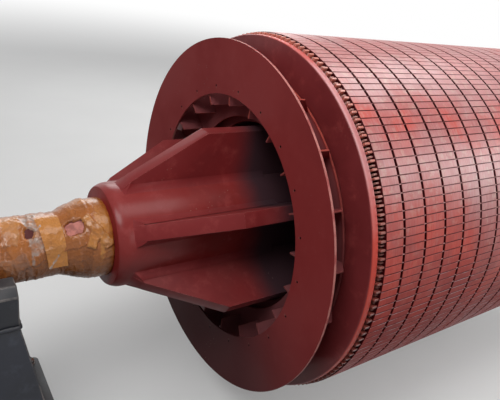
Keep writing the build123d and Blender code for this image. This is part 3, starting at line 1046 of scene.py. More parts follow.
class Builders:
    """Geometry Nodes trees that repeat a piece or follow a path."""

    def __init__(self) -> None:
        """Build each tree once."""
        self.ring = self.build_ring_tree()
        self.bead = self.build_bead_tree()
        self.bolts = self.build_bolt_tree()

    @staticmethod
    def start(name: str, inputs: Sequence[Entry]) -> tuple[Graph, Any, Any]:
        """Start a tree that takes a mesh, its own inputs and a material."""
        inputs = (("Geometry", "geometry", None), *inputs, ("Finish", "material", None))
        return new_group(name, inputs, (("Geometry", "geometry"),), "GeometryNodeTree")

    @staticmethod
    def finish(g: Graph, put: Any, out: Any, made: Socket) -> Tree:
        """Give the made geometry its material and close the tree."""
        g.feed(out[0], g.first("GeometryNodeSetMaterial", {"Geometry": made, "Material": put["Finish"]}))
        return g.tree

    @classmethod
    def build_ring_tree(cls) -> Tree:
        """Make the tree that repeats its own piece around the shaft's axis."""
        inputs = (("Count", "int", 6), ("Phase", "float", 0.0))
        g, put, out = cls.start("Repeat around shaft", inputs)
        centre = g.first("ShaderNodeCombineXYZ", {2: AXIS_HEIGHT})
        points = g.first("GeometryNodePoints", {"Count": put["Count"], "Position": centre})
        step = g.share(math.tau, put["Count"])
        turn = g.plus(g.times(g.first("GeometryNodeInputIndex"), step), put["Phase"])
        rotation = g.first("ShaderNodeCombineXYZ", {0: turn})
        laid = {"Points": points, "Instance": put["Geometry"], "Rotation": rotation}
        real = g.first("GeometryNodeRealizeInstances", {0: g.first("GeometryNodeInstanceOnPoints", laid)})
        joined = g.first("GeometryNodeMergeByDistance", {"Geometry": real, "Distance": WELD_DISTANCE})
        return cls.finish(g, put, out, joined)

    @classmethod
    def build_bead_tree(cls) -> Tree:
        """Make the tree that lays a rippled weld bead along its object's edges."""
        numbers = (("Radius", 0.007), ("Step", 0.008), ("Ripple", 0.12))
        inputs = (*((name, "float", value) for name, value in numbers), ("Seed", "int", 3))
        g, put, out = cls.start("Weld bead", inputs)
        path = g.first("GeometryNodeMeshToCurve", {0: put["Geometry"]})
        fine = g.first("GeometryNodeResampleCurve", {"Curve": path, "Length": put["Step"]}, mode="LENGTH")
        chance = g.add("FunctionNodeRandomValue", {"Seed": put["Seed"]}, data_type="FLOAT").outputs[1]
        swell = g.times(g.minus(chance, 0.5), put["Ripple"])
        beat = g.times(g.math("MODULO", g.first("GeometryNodeInputIndex"), 2.0), put["Ripple"])
        size = g.plus(g.plus(swell, beat), 1.0)
        wide = g.first("GeometryNodeSetCurveRadius", {"Curve": fine, "Radius": size})
        section = g.first("GeometryNodeCurvePrimitiveCircle", {"Resolution": 7, "Radius": put["Radius"]})
        bead = g.add("GeometryNodeCurveToMesh", {"Curve": wide, "Profile Curve": section, "Fill Caps": True})
        if "Scale" in bead.inputs:
            g.feed(bead.inputs["Scale"], size)
        real = g.first("GeometryNodeRealizeInstances", {0: bead.outputs[0]})
        return cls.finish(g, put, out, real)

    @classmethod
    def build_bolt_tree(cls) -> Tree:
        """Make the tree that sets a hexagon bolt with its washer on each of its object's points."""
        inputs = (("Bolt Radius", "float", 0.012), ("Head Height", "float", 0.015))
        g, put, out = cls.start("Bolt set", inputs)
        radius, height = put["Bolt Radius"], put["Head Height"]
        thin = g.times(height, 0.22)
        parts = (
            (28, g.times(radius, 2.1), thin, g.times(thin, 0.5)),
            (6, g.times(radius, 1.75), height, g.times(height, 0.72)),
            (20, radius, g.times(height, 0.9), g.times(height, 1.35)),
        )
        join = g.add("GeometryNodeJoinGeometry")
        for sides, size, depth, middle in parts:
            solid = g.first("GeometryNodeMeshCylinder", {"Vertices": sides, "Radius": size, "Depth": depth})
            lift = g.first("ShaderNodeCombineXYZ", {2: middle})
            moved = g.first("GeometryNodeTransform", {"Geometry": solid, "Translation": lift})
            g.tree.links.new(moved, join.inputs[0])
        laid = {"Points": put["Geometry"], "Instance": join.outputs[0]}
        real = g.first("GeometryNodeRealizeInstances", {0: g.first("GeometryNodeInstanceOnPoints", laid)})
        return cls.finish(g, put, out, real)


def path_mesh(name: str, paths: Iterable[Sequence[Vector]]) -> Mesh:
    """Make a mesh of bare edges along several paths.

    Args:
        name: Name of the mesh.
        paths: Points of each path.

    Returns:
        The mesh.
    """
    points: list[Vector] = []
    edges: list[tuple[int, int]] = []
    for path in paths:
        first = len(points)
        points.extend(path)
        edges.extend((first + i, first + i + 1) for i in range(len(path) - 1))
    return make_mesh(name, points, (), edges)


@dataclass
class Core:
    """Laminated core: slotted packets, the cage bars inside them and the fingers at both ends."""

    builders: Builders
    finishes: dict[str, Material]
    slot_width: float = 0.0032
    slot_floor: float = CORE_RADIUS - 0.009
    edge: float = 0.0006
    duct_edge: float = 0.0015
    face_drop: float = 1.6
    crown: float = CORE_RADIUS - 0.0001
    arc_steps: int = 2
    lip_width: float = 0.0028
    lip_top: float = CORE_RADIUS - 0.0022
    bar_width: float = 0.010
    bar_top: float = 0.668
    bar_bottom: float = 0.630
    finger_width: float = 0.0062
    finger_length: float = 0.0125
    finger_step: float = 0.006
    finger_top: float = 0.671
    finger_round: float = 0.0022
    finger_knee: float = 0.655
    finger_root: float = 0.575

    def tooth(self, start: float, length: float) -> Mesh:
        """Model one tooth, from slot middle to slot middle, about an axis at the origin.

        Args:
            start: Place of its first face along the shaft.
            length: Length of the packet.

        Returns:
            The open mesh, whose sides close once its neighbours are joined on.
        """
        half = BAR_PITCH / 2
        wall = half - self.slot_width / 2 / CORE_RADIUS
        flat = wall - self.edge / CORE_RADIUS
        rim = [(-half, self.slot_floor), (-wall, self.slot_floor), (-wall, self.crown - self.edge)]
        rim += [(-flat + 2 * flat * i / self.arc_steps, self.crown) for i in range(self.arc_steps + 1)]
        rim += [(wall, self.crown - self.edge), (wall, self.slot_floor), (half, self.slot_floor)]
        count = len(rim)
        places = (start, start + self.duct_edge, start + length - self.duct_edge, start + length)
        points = []
        for x, drop in zip(places, (self.face_drop, 0.0, 0.0, self.face_drop)):
            for angle, radius in rim:
                low = min(radius, self.crown - drop * self.edge)
                points.append((x, -low * math.sin(angle), low * math.cos(angle)))
        faces: list[tuple[int, ...]] = []
        for row in range(3):
            for i in range(count - 1):
                corner = row * count + i
                faces.append((corner, corner + count, corner + count + 1, corner + 1))
        for x in (start, start + length):
            for angle in (half, -half):
                points.append((x, -CORE_BORE * math.sin(angle), CORE_BORE * math.cos(angle)))
        bore = 4 * count
        faces.append((*range(count), bore, bore + 1))
        faces.append((*range(4 * count - 1, 3 * count - 1, -1), bore + 3, bore + 2))
        faces.append((bore, bore + 2, bore + 3, bore + 1))
        return make_mesh("tooth", points, faces)

    def packets(self) -> None:
        """Build each packet by repeating its tooth around the shaft."""
        start = -CORE_HALF
        for number in range(DUCT_COUNT + 1):
            length = END_PACKET if number in (0, DUCT_COUNT) else DUCT_PITCH - DUCT_WIDTH
            node = f"core_packet_{number + 1:02d}"
            piece = self.around(f"{node}_teeth", self.tooth(start, length), "core", BAR_PITCH / 2)
            face_outward(piece.data)
            shade(piece.data, 20)
            settle(piece, [node])
            start += length + DUCT_WIDTH

    def bars(self) -> None:
        """Build the long cage bars, whose narrow lips fill the slots and bridge the ducts."""
        lip, bar = self.lip_width / 2, self.bar_width / 2
        half = [(bar, self.bar_bottom), (bar, self.bar_top), (lip, self.bar_top), (lip, self.lip_top)]
        outline = [(-side, height) for side, height in half] + half[::-1]
        mesh = self.prism("bar", outline, -CORE_HALF, CORE_HALF)
        settle(self.around("cage_bars_in_slots", mesh, "slot"))

    def fingers(self, end: End) -> None:
        """Build the pressure fingers that stand on each tooth between the bars.

        Each is a strip on the core's face whose outer end is a thicker, rounded block.
        """
        half = self.finger_width / 2
        crown = self.finger_top - self.finger_round
        block = [(-half, self.finger_knee), (-half, crown), (-half * 0.5, self.finger_top)]
        block += [(-side, height) for side, height in reversed(block)]
        strip = [(-half, self.finger_root), (-half, crown), (half, crown), (half, self.finger_root)]
        body = bmesh.new()
        for outline, length in ((block, self.finger_length), (strip, self.finger_step)):
            near, far = end.value * CORE_HALF, end.value * (CORE_HALF + length)
            body.from_mesh(self.prism("finger", outline, min(near, far), max(near, far)))
        mesh = bpy.data.meshes.new("fingers")
        body.to_mesh(mesh)
        body.free()
        settle(self.around(f"pressure_fingers_{end.label}", mesh, "finger", BAR_PITCH / 2))

    def around(self, name: str, mesh: Mesh, finish: str, shift: float = 0.0) -> Piece:
        """Repeat a mesh at every bar, shifted by an angle in radians."""
        values = {"Count": BAR_COUNT, "Phase": BAR_PHASE + shift}
        return grow_piece(name, mesh, self.finishes[finish], self.builders.ring, values)

    @staticmethod
    def prism(name: str, outline: Sequence[tuple[float, float]], start: float, stop: float) -> Mesh:
        """Stretch a section along the shaft, about an axis at the origin.

        Args:
            name: Name of the mesh.
            outline: Sideways place and height of each corner.
            start: First place along the shaft.
            stop: Last place along the shaft.

        Returns:
            The closed mesh.
        """
        count = len(outline)
        points = [(x, -side, height) for x in (start, stop) for side, height in outline]
        faces = [tuple(range(count)), tuple(range(2 * count - 1, count - 1, -1))]
        for i in range(count):
            after = (i + 1) % count
            faces.append((i, i + count, after + count, after))
        mesh = make_mesh(name, points, faces)
        face_outward(mesh)
        return mesh

    def build(self) -> None:
        """Build the core's pieces."""
        self.packets()
        self.bars()
        for end in End:
            self.fingers(end)


@dataclass
class EndWork:
    """Clamp plate, ring, bar ends and fan of one end, with their welds."""

    end: End
    builders: Builders
    finishes: dict[str, Material]
    blade_count: int = 21
    blade_phase: float = math.radians(10.7)
    blade_half: float = 0.003
    blade_inner: float = 0.462
    blade_outer: float = 0.608
    bead: float = 0.0034
    bead_step: float = 0.012
    bead_depth: float = 0.0006
    bead_shift: float = 0.0004
    thin_face: float = 0.002

    def plates(self) -> None:
        """Dress the plates, the ring and the blades."""
        for node, width, finish, steps, thin in (
            ("clamp_plate", 0.0015, "inner", 2, 0.0),
            ("short_circuit_ring", 0.0012, "ring", 2, 0.0),
            ("fan_back_plate", 0.001, "inner", 1, self.thin_face),
            ("fan_shroud", 0.001, "fan", 1, self.thin_face),
            ("fan_blades", 0.0008, "inner", 1, self.thin_face),
            ("bar_ends", 0.0012, "cage", 1, 0.0),
        ):
            node = f"{node}_{self.end.label}"
            softened_copy(node, width, self.finishes[finish], steps, thin)

    def blade_welds(self) -> None:
        """Lay a bead along both sides of each blade where it meets the shroud."""
        rear = SHROUD_REAR - self.bead_depth
        ends = [(r, rear - SHROUD_SLOPE * (SHROUD_RADIUS - r)) for r in (self.blade_inner, self.blade_outer)]
        paths = []
        for number in range(self.blade_count):
            angle = self.blade_phase + number * math.tau / self.blade_count
            across = Vector((0.0, -math.cos(angle), -math.sin(angle)))
            for side in (-1, 1):
                shift = across * side * (self.blade_half + self.bead_shift)
                paths.append([on_shaft(self.end.value * x, angle, r) + shift for r, x in ends])
        mesh = path_mesh("blade_paths", paths)
        values = {"Radius": self.bead, "Step": self.bead_step, "Seed": 5}
        name = f"blade_welds_{self.end.label}"
        settle(grow_piece(name, mesh, self.finishes["fan"], self.builders.bead, values))

    def build(self) -> None:
        """Build the pieces of this end."""
        self.plates()
        self.blade_welds()


@dataclass
class Spider:
    """Shaft body and its six ribs, with the ground fillet welds between them."""

    builders: Builders
    finishes: dict[str, Material]
    leg: float = 0.021
    nose_length: float = 0.032
    nose_height: float = 0.0295
    weld_start: float = 0.8352
    nose_share: float = 0.86
    nose_inset: float = 0.006
    nose_bulge: float = 0.004
    nose_middle: float = 0.4
    nose_curve: float = 1.15
    hollow_share: float = 0.45
    flat_share: float = 0.55
    shaft_edge: float = 0.0015
    rib_edge: float = 0.0026
    spans: int = 8
    rib_bite: float = 0.001
    body_bite: float = 0.0004
    steps: int = 5

    def build(self) -> None:
        """Dress the shaft and ribs and lay the welds."""
        softened_copy("shaft", self.shaft_edge, self.finishes["shaft"])
        for number in range(RIB_COUNT):
            node = f"rib_{number + 1}"
            softened_copy(node, self.rib_edge, self.finishes["spider"], 3)
        for end in End:
            self.fillets(end)

    @staticmethod
    def on_body(along: float, across: float, height: float) -> Point:
        """Place a point by its distance along, the distance around the body and the height over it."""
        angle = across / BODY_RADIUS
        radius = BODY_RADIUS + height
        return (along, -radius * math.sin(angle), radius * math.cos(angle))

    def section(self, share: float) -> tuple[float, float]:
        """Give the fillet's hollow section.

        Args:
            share: Place across the section, from the rib's side at 0 to the body at 1.

        Returns:
            Distance from the rib and height over the body, as shares of the leg.
        """
        turn = share * math.pi / 2
        pairs = ((1 - math.cos(turn), share), (1 - math.sin(turn), 1 - share))
        out, up = (self.hollow_share * hollow + self.flat_share * flat for hollow, flat in pairs)
        return out, up

    def fillets(self, end: End) -> None:
        """Model the weld along both roots of a rib and round its nose, and repeat it for each rib."""
        tip = RIB_END
        crest = tip - self.nose_length
        stations: list[list[Point]] = []
        for side in (-1, 1):
            run = (self.weld_start, crest) if side < 0 else (crest, self.weld_start)
            for number in range(self.spans + 1):
                along = run[0] + (run[1] - run[0]) * number / self.spans
                rows = [self.section(i / self.steps) for i in range(self.steps + 1)]
                stations.append(
                    [
                        self.on_body(
                            end.value * along,
                            side * (RIB_HALF - self.rib_bite + self.leg * out),
                            self.leg * up - self.body_bite,
                        )
                        for out, up in rows
                    ]
                )
            if side < 0:
                stations.extend(self.nose(end, crest, tip))
        count = self.steps + 1
        points = [p for row in stations for p in row]
        faces = [
            (r * count + i, r * count + i + 1, (r + 1) * count + i + 1, (r + 1) * count + i)
            for r in range(len(stations) - 1)
            for i in range(self.steps)
        ]
        mesh, values = make_mesh("fillet", points, faces), {"Count": RIB_COUNT, "Phase": RIB_PHASE}
        finish, name = self.finishes["spider"], f"rib_welds_{end.label}"
        piece = grow_piece(name, mesh, finish, self.builders.ring, values)
        self.turn_up(piece.data)
        shade(piece.data, 40)
        settle(piece)

    def nose(self, end: End, crest: float, tip: float) -> list[list[Point]]:
        """Give the rows of the weld's spread round the nose of a rib.

        Args:
            end: End of the rotor.
            crest: Place along the shaft where the nose starts.
            tip: Place where it meets the body.

        Returns:
            Rows of points from the rib to the body.
        """
        sides = (-1.0, -self.nose_middle, self.nose_middle, 1.0)
        inner = [(crest + self.nose_inset, RIB_HALF * side) for side in sides]
        bulge, reach = tip + self.nose_bulge, RIB_HALF + self.leg
        outer = [(x, reach * side) for x, side in zip((tip, bulge, bulge, tip), sides)]
        rows = []
        for (x0, y0), (x1, y1) in zip(inner, outer):
            row = []
            for i in range(self.steps + 1):
                share = i / self.steps
                lift = self.nose_height * self.nose_share * (1 - share) ** self.nose_curve
                along = x0 + (x1 - x0) * share
                row.append(self.on_body(end.value * along, y0 + (y1 - y0) * share, lift - self.body_bite))
            rows.append(row)
        return rows

    @staticmethod
    def turn_up(mesh: Mesh) -> None:
        """Turn the open strips' faces away from the shaft's axis."""
        with editing(mesh) as body:
            for face in body.faces:
                middle = face.calc_center_median()
                if face.normal.dot(Vector((0.0, middle.y, middle.z - AXIS_HEIGHT))) < 0:
                    face.normal_flip()


@dataclass(frozen=True)
class Sheet:
    """One length of tape or film laid on the journal.

    Its place is the distance of its middle from the rotor's middle and an angle in
    degrees. Reach is half its length around, width is half its width, both in metres.
    """

    along: float
    angle: float
    reach: float
    width: float
    tilt: float = 0.0
    thick: float = 0.0012
    crumple: float = 0.5
    tone: float = 0.5
    film: float = 0.0


PHOTOGRAPHED_SHEETS = (
    Sheet(1.459, 40, 0.120, 0.022, 0.05, 0.0012, 0.30, 0.75),
    Sheet(1.452, 100, 0.110, 0.020, -0.10, 0.0010, 0.12, 0.55),
    Sheet(1.520, -10, 0.090, 0.034, 0.20, 0.0014, 0.75, 0.70),
    Sheet(1.480, 50, 0.060, 0.016, 0.55, 0.0030, 1.50, 0.80),
    Sheet(1.497, 62, 0.034, 0.014, -0.40, 0.0030, 1.60, 0.90),
    Sheet(1.562, 84, 0.070, 0.030, 0.10, 0.0012, 0.50, 0.45),
    Sheet(1.552, 62, 0.022, 0.034, 0.02, 0.0016, 0.90, 0.40),
    Sheet(1.640, 5, 0.080, 0.026, -0.15, 0.0014, 0.90, 0.60, 0.30),
    Sheet(1.662, 12, 0.034, 0.026, 0.10, 0.0010, 1.30, 0.60, 0.95),
    Sheet(1.700, 48, 0.090, 0.036, 0.25, 0.0016, 0.80, 0.60),
    Sheet(1.652, 66, 0.040, 0.020, 0.10, 0.0010, 1.10, 0.50, 0.80),
    Sheet(1.730, 10, 0.070, 0.040, -0.25, 0.0014, 1.00, 0.70, 0.15),
    Sheet(1.700, 118, 0.080, 0.034, 0.30, 0.0010, 0.60, 0.40, 0.25),
    Sheet(1.620, 125, 0.090, 0.040, 0.05, 0.0008, 0.20, 0.42),
    Sheet(1.790, 60, 0.110, 0.036, -0.15, 0.0014, 0.90, 0.55),
    Sheet(1.840, 20, 0.120, 0.030, 0.12, 0.0014, 0.90, 0.65, 0.20),
)


@dataclass(frozen=True)
class Tear:
    """A place where the tape is gone and the shaft shows."""

    along: float
    angle: float
    reach: float
    width: float
    bare: float = 1.0
    tilt: float = 0.0


@dataclass
class JournalWrap:
    """Wrinkled tape wound and patched over one seat and journal."""

    end: End
    finishes: dict[str, Material]
    seed: int = 4
    turns: int = 9
    patches: int = 26
    start: float = SHOULDER + 0.0004
    stop: float = 1.89675
    rows: int = 176
    around: int = 280
    outline: tuple[tuple[float, float], ...] = (
        *((1.43375, 0.1290), (1.49675, 0.1290), (1.5200, 0.1210)),
        *((1.58175, 0.0985), (1.89675, 0.0980)),
    )
    bare_shaft: tuple[tuple[float, float], ...] = ((1.49675, 0.1265), (1.55675, 0.0955), (1.9, 0.0955))
    crumple: float = 0.0030
    tallest: float = 0.0075
    torn_end: float = 0.018
    torn_side: float = 0.25
    sway: float = 0.3
    lean: float = 0.1
    edge_width: float = 0.002
    curl: float = 0.0012
    curl_width: float = 0.006
    start_fade: float = 0.004
    stop_fade: float = 0.006
    seat_half: float = 0.081
    seat_radius: float = 0.0998
    seat_drop: float = 0.027
    inner_radii: tuple[float, float] = (0.1262, 0.0952)
    flap_along: float = 1.613
    flap_half: float = 0.029
    flap_length: float = 0.176
    flap_radius: float = 0.103
    flap_thick: float = 0.0009
    flap_under: float = 0.1027
    flap_rise: float = 0.0022
    flap_cup: float = 0.0025
    flap_taper: float = 0.24
    flap_drift: float = 0.014
    crease_place: float = 0.76
    crease_slant: float = 0.19
    crease_half: float = 0.022
    flap_start: float = math.radians(4)
    flap_leave: float = math.radians(68)
    hang: tuple[float, float, float] = (0.0, -0.16, -0.987)

    def __post_init__(self) -> None:
        """Choose the sheets and tears of this end."""
        chance = random.Random(self.seed)
        noise.seed_set(self.seed)
        length = self.stop - self.start
        ranges = ((0.022, 0.030), (-0.05, 0.05), (0.0005, 0.0011), (0.2, 0.7), (0.3, 0.6))
        self.sheets = [
            Sheet(
                self.start + length * (turn + chance.uniform(0.2, 0.8)) / self.turns,
                chance.uniform(0, 360),
                1.0,
                *(chance.uniform(*pair) for pair in ranges),
            )
            for turn in range(self.turns)
        ]
        if self.end is End.DRIVE:
            self.sheets.extend(PHOTOGRAPHED_SHEETS)
            self.tears = (Tear(1.541, 39, 0.023, 0.027), Tear(1.668, 36, 0.016, 0.013, 0.6))
        else:
            self.sheets.extend(self.scattered(chance))
            self.tears = (Tear(1.610, 300, 0.018, 0.014, 0.6),)

    def scattered(self, chance: random.Random) -> list[Sheet]:
        """Lay sheets at random for the end that the photograph doesn't show.

        Args:
            chance: Seeded random numbers.

        Returns:
            The sheets.
        """
        ranges = (
            *((self.start + 0.02, self.stop - 0.03), (0, 360), (0.04, 0.11), (0.016, 0.034)),
            *((-0.4, 0.4), (0.0008, 0.0022), (0.3, 1.3), (0.3, 0.9)),
        )
        films = (0.0, 0.0, 0.0, 0.3, 0.9)
        return [
            Sheet(*(chance.uniform(*pair) for pair in ranges), chance.choice(films))
            for _ in range(self.patches)
        ]

    @staticmethod
    def read(outline: Sequence[tuple[float, float]], along: float) -> float:
        """Read an outline's radius at a place along the shaft."""
        for (x0, r0), (x1, r1) in zip(outline, outline[1:]):
            if along <= x1:
                share = min(1.0, max(0.0, (along - x0) / (x1 - x0)))
                return r0 + (r1 - r0) * share
        return outline[-1][1]

    def depth(
        self, place: Sheet | Tear, along: float, angle: float, radius: float, ragged: float, torn: float = 0.0
    ) -> float:
        """Measure how far a point lies inside the outline of a sheet or tear.

        Args:
            place: Sheet or tear.
            along: Place of the point along the shaft.
            angle: Its angle.
            radius: Radius there.
            ragged: Unevenness of the outline.
            torn: More of it at a sheet's two ends.

        Returns:
            The distance to the outline, below zero outside.
        """
        turn = (angle - math.radians(place.angle) + math.pi) % math.tau - math.pi
        across, around = along - place.along, turn * radius
        if place.reach >= 1.0:
            swing = self.sway * math.sin(angle + place.angle) * place.width
            slope = across - swing - place.tilt * self.lean
            return place.width - abs(slope) + ragged
        sine, cosine = math.sin(place.tilt), math.cos(place.tilt)
        aside = abs(across * cosine + around * sine)
        ahead = abs(around * cosine - across * sine)
        if isinstance(place, Tear):
            share = ((aside / place.width) ** 3 + (ahead / place.reach) ** 3) ** (1 / 3)
            return (1 - share) * min(place.width, place.reach) + ragged
        return min(place.width - aside + torn * self.torn_side, place.reach - ahead + torn) + ragged

    def wrinkle(self, spot: Vector) -> float:
        """Give the height of the sharp folds at a point, from 0 to about 1."""
        bent = spot + 0.006 * noise.noise_vector(spot * 30)
        first = max(0.0, 1 - abs(noise.noise(Vector((bent.x * 34, bent.y * 24, bent.z * 24)))) * 3.0)
        second = max(0.0, 1 - abs(noise.noise(bent * 62 + Vector((7.1, 0.0, 0.0)))) * 3.0)
        return 0.65 * first**1.6 + 0.35 * second**1.6

    def surface(self, along: float, angle: float) -> tuple[float, float, float, float]:
        """Find the wrapped surface at a place.

        Args:
            along: Place along the shaft.
            angle: Angle around it.

        Returns:
            The radius, and how light, filmy and bare the place is.
        """
        base = self.read(self.outline, along)
        spot = Vector((along + self.seed, base * math.cos(angle), base * math.sin(angle)))
        ragged = 0.004 * noise.noise(spot * 55) + 0.002 * noise.noise(spot * 160)
        height, tone, film, folds = 0.0, 0.5, 0.0, 0.35
        for sheet in self.sheets:
            torn = self.torn_end * noise.noise(spot * 26 + Vector((0.0, sheet.angle, 0.0)))
            inside = self.depth(sheet, along, angle, base, ragged, torn)
            if inside <= 0:
                continue
            edge = min(1.0, inside / self.edge_width)
            curl = self.curl * sheet.crumple * math.exp(-inside / self.curl_width)
            height += edge * (sheet.thick + curl)
            tone = sheet.tone + 0.25 * noise.noise(spot * 14 + Vector((sheet.angle, 0.0, 0.0)))
            film, folds = sheet.film, sheet.crumple
        loose = 0.35 + max(0.0, noise.noise(spot * 12) + 0.35)
        height = min(self.tallest, height + self.crumple * folds * loose * self.wrinkle(spot))
        radius, bare = base + height, 0.0
        for tear in self.tears:
            inside = self.depth(tear, along, angle, base, ragged)
            if inside > -self.edge_width:
                bare = tear.bare if inside > 0 else bare
                share = min(1.0, max(0.0, (inside + self.edge_width) / self.edge_width))
                radius += (self.read(self.bare_shaft, along) - radius) * share
        fade = min(1.0, (along - self.start) / self.start_fade, (self.stop - along) / self.stop_fade)
        radius = base + (radius - base) * fade
        if abs(along - STAND_CENTRE) < self.seat_half and radius * math.cos(angle) < -self.seat_drop:
            radius = min(radius, self.seat_radius)
        return radius, tone, film, bare

    def build(self) -> None:
        """Build the wrap as one closed sleeve, and the loose flap of the photographed end."""
        points: list[Vector] = []
        marks: list[Sequence[float]] = []
        length, around = self.stop - self.start, self.around
        places = [self.start + length * row / self.rows for row in range(self.rows + 1)]
        angles = [math.tau * step / around for step in range(around)]
        for along in places:
            for angle in angles:
                radius, *mark = self.surface(along, angle)
                points.append(on_shaft(self.end.value * along, angle, radius))
                marks.append(mark)
        rings = [(row * around, (row + 1) * around) for row in range(self.rows)]
        for row, inner in zip((0, self.rows), self.inner_radii):
            rings.append((row * around, len(points)))
            points.extend(on_shaft(self.end.value * places[row], angle, inner) for angle in angles)
            marks.extend([(0.3, 0.0, 0.0)] * around)
        faces = [
            (low + step, low + (step + 1) % around, high + (step + 1) % around, high + step)
            for low, high in rings
            for step in range(around)
        ]
        node = f"journal_wrap_{self.end.label}"
        self.lay(f"{node}_tape", make_mesh("wrap", points, faces), marks, 70, [node])
        if self.end is End.DRIVE:
            self.flap()

    def lay(
        self, name: str, mesh: Mesh, marks: Iterable[Any], angle: float, replaced: Sequence[str] = ()
    ) -> None:
        """Finish a piece of tape.

        Args:
            name: Name of the piece.
            mesh: Its closed mesh.
            marks: How light, filmy and bare each point is.
            angle: Angle in degrees over which an edge is sharp.
            replaced: CAD nodes that the piece stands for.
        """
        for label, values in zip(("tone", "film", "bare"), zip(*marks)):
            mesh.attributes.new(label, "FLOAT", "POINT").data.foreach_set("value", values)
        face_outward(mesh)
        shade(mesh, angle)
        settle(add_piece(name, mesh, self.finishes["tape"]), replaced)

    def flap_point(self, share: float, side: float, layer: float) -> tuple[Point, float]:
        """Find a point of the loose flap.

        Args:
            share: Share of the flap's length.
            side: Place across it, from -1 to 1.
            layer: Height over its under side.

        Returns:
            The point, and a film mark that paints a glint along the diagonal crease.
        """
        run = share * self.flap_length
        turned = run / self.flap_radius + self.flap_start
        along = self.flap_along + side * self.flap_half * (1.2 - self.flap_taper * share)
        along -= self.flap_drift * share
        fold = 0.0016 * noise.noise(Vector((along * 60, run * 45, self.seed)))
        crease = share - self.crease_place - self.crease_slant * (side + 0.35)
        fold += 0.0018 * math.exp(-((crease / self.crease_half) ** 2)) * (1.0 if side > -0.1 else 0.4)
        cup = self.flap_cup * side * side * share
        radius = self.flap_under + layer + self.flap_rise * share + fold + cup
        spot = on_shaft(0.0, min(turned, self.flap_leave), radius)
        if turned > self.flap_leave:
            spot += Vector(self.hang) * (run - (self.flap_leave - self.flap_start) * self.flap_radius)
        # Painted highlight: the crease's glint is painted as pale film
        bent = 2.0 if abs(crease) < 0.018 and side > -0.2 else 0.0
        return (self.end.value * along, spot.y, spot.z), bent

    def flap(self) -> None:
        """Build the loose length of tape that leaves the wrap and hangs down."""
        across, down = 14, 46
        points, faces, marks = [], [], []
        for layer in (0.0, self.flap_thick):
            for row in range(down + 1):
                for column in range(across + 1):
                    point, bent = self.flap_point(row / down, column / across * 2 - 1, layer)
                    points.append(point)
                    marks.append((0.85, bent, 0.0))
        width = across + 1
        size = (down + 1) * width
        for row in range(down):
            for low in range(row * width, row * width + across):
                high = low + width
                faces.append((low, low + 1, high + 1, high))
                faces.append((size + low, size + high, size + high + 1, size + low + 1))
        rim = [*range(width), *range(2 * width - 1, size, width)]
        rim += [*range(size - 2, size - width - 1, -1), *range(size - 2 * width, 0, -width)]
        for here, after in zip(rim, rim[1:] + rim[:1]):
            faces.append((here, after, size + after, size + here))
        self.lay("loose_tape_flap", make_mesh("flap", points, faces), marks, 50)


@dataclass
class Stand:
    """Welded stand under one journal, with its floor bolts and welds."""

    end: End
    builders: Builders
    finishes: dict[str, Material]
    foot_length: float = 0.400
    foot_width: float = 0.580
    top_length: float = 0.160
    top_width: float = 0.340
    foot_height: float = 0.030
    top_height: float = 0.640
    hole_x: float = 0.200
    hole_y: float = 0.330

    def corners(self, length: float, width: float, height: float) -> list[Vector]:
        """Give the four corners of a level rectangle on the stand's middle line."""
        centre = self.end.value * STAND_CENTRE
        return [Vector((centre + x * length / 2, y * width / 2, height)) for x, y in SQUARE]

    def build(self) -> None:
        """Dress the stand's plates, lay its welds and set its bolts."""
        label = self.end.label
        paint = self.finishes["stand"]
        for node, width in (("base", 0.003), ("body", 0.004), ("saddle", 0.004)):
            softened_copy(f"stand_{node}_{label}", width, paint, 3)
        foot = self.corners(self.foot_length, self.foot_width, self.foot_height)
        top = self.corners(self.top_length, self.top_width, self.top_height)
        mesh = path_mesh("stand_paths", [[*foot, foot[0]], [*top, top[0]]])
        values = {"Radius": 0.007, "Step": 0.009, "Ripple": 0.14, "Seed": 2}
        welds = grow_piece(f"stand_welds_{label}", mesh, paint, self.builders.bead, values)
        shade(welds.data, 60)
        settle(welds)
        holes = self.corners(2 * self.hole_x, 2 * self.hole_y, self.foot_height)
        seats, steel = make_mesh("seats", holes, ()), self.finishes["bolt"]
        bolts = grow_piece(f"floor_bolts_{label}", seats, steel, self.builders.bolts, {})
        settle(bolts)


# Name, place, aim, size and power of each lamp
LAMPS = (
    ("high_window", (2.1, 0.7, 4.1), (-0.2, 0.0, 0.9), (1.2, 1.8), 51.0),
    ("side_window", (3.3, -2.4, 2.7), (-0.1, -0.2, 0.9), (1.2, 1.4), 60.0),
    ("overhead_light", (-0.4, -0.9, 4.4), (-0.3, 0.0, 0.9), (3.4, 1.6), 47.0),
    ("front_light", (-2.9, -1.3, 3.7), (-1.0, -0.2, 1.2), (1.8, 1.4), 56.0),
    ("side_light", (1.6, -4.6, 2.4), (0.4, 0.0, 0.8), (3.0, 1.6), 40.0),
    ("back_light", (1.0, 4.8, 3.4), (0.0, 0.0, 0.8), (4.0, 2.0), 90.0),
)


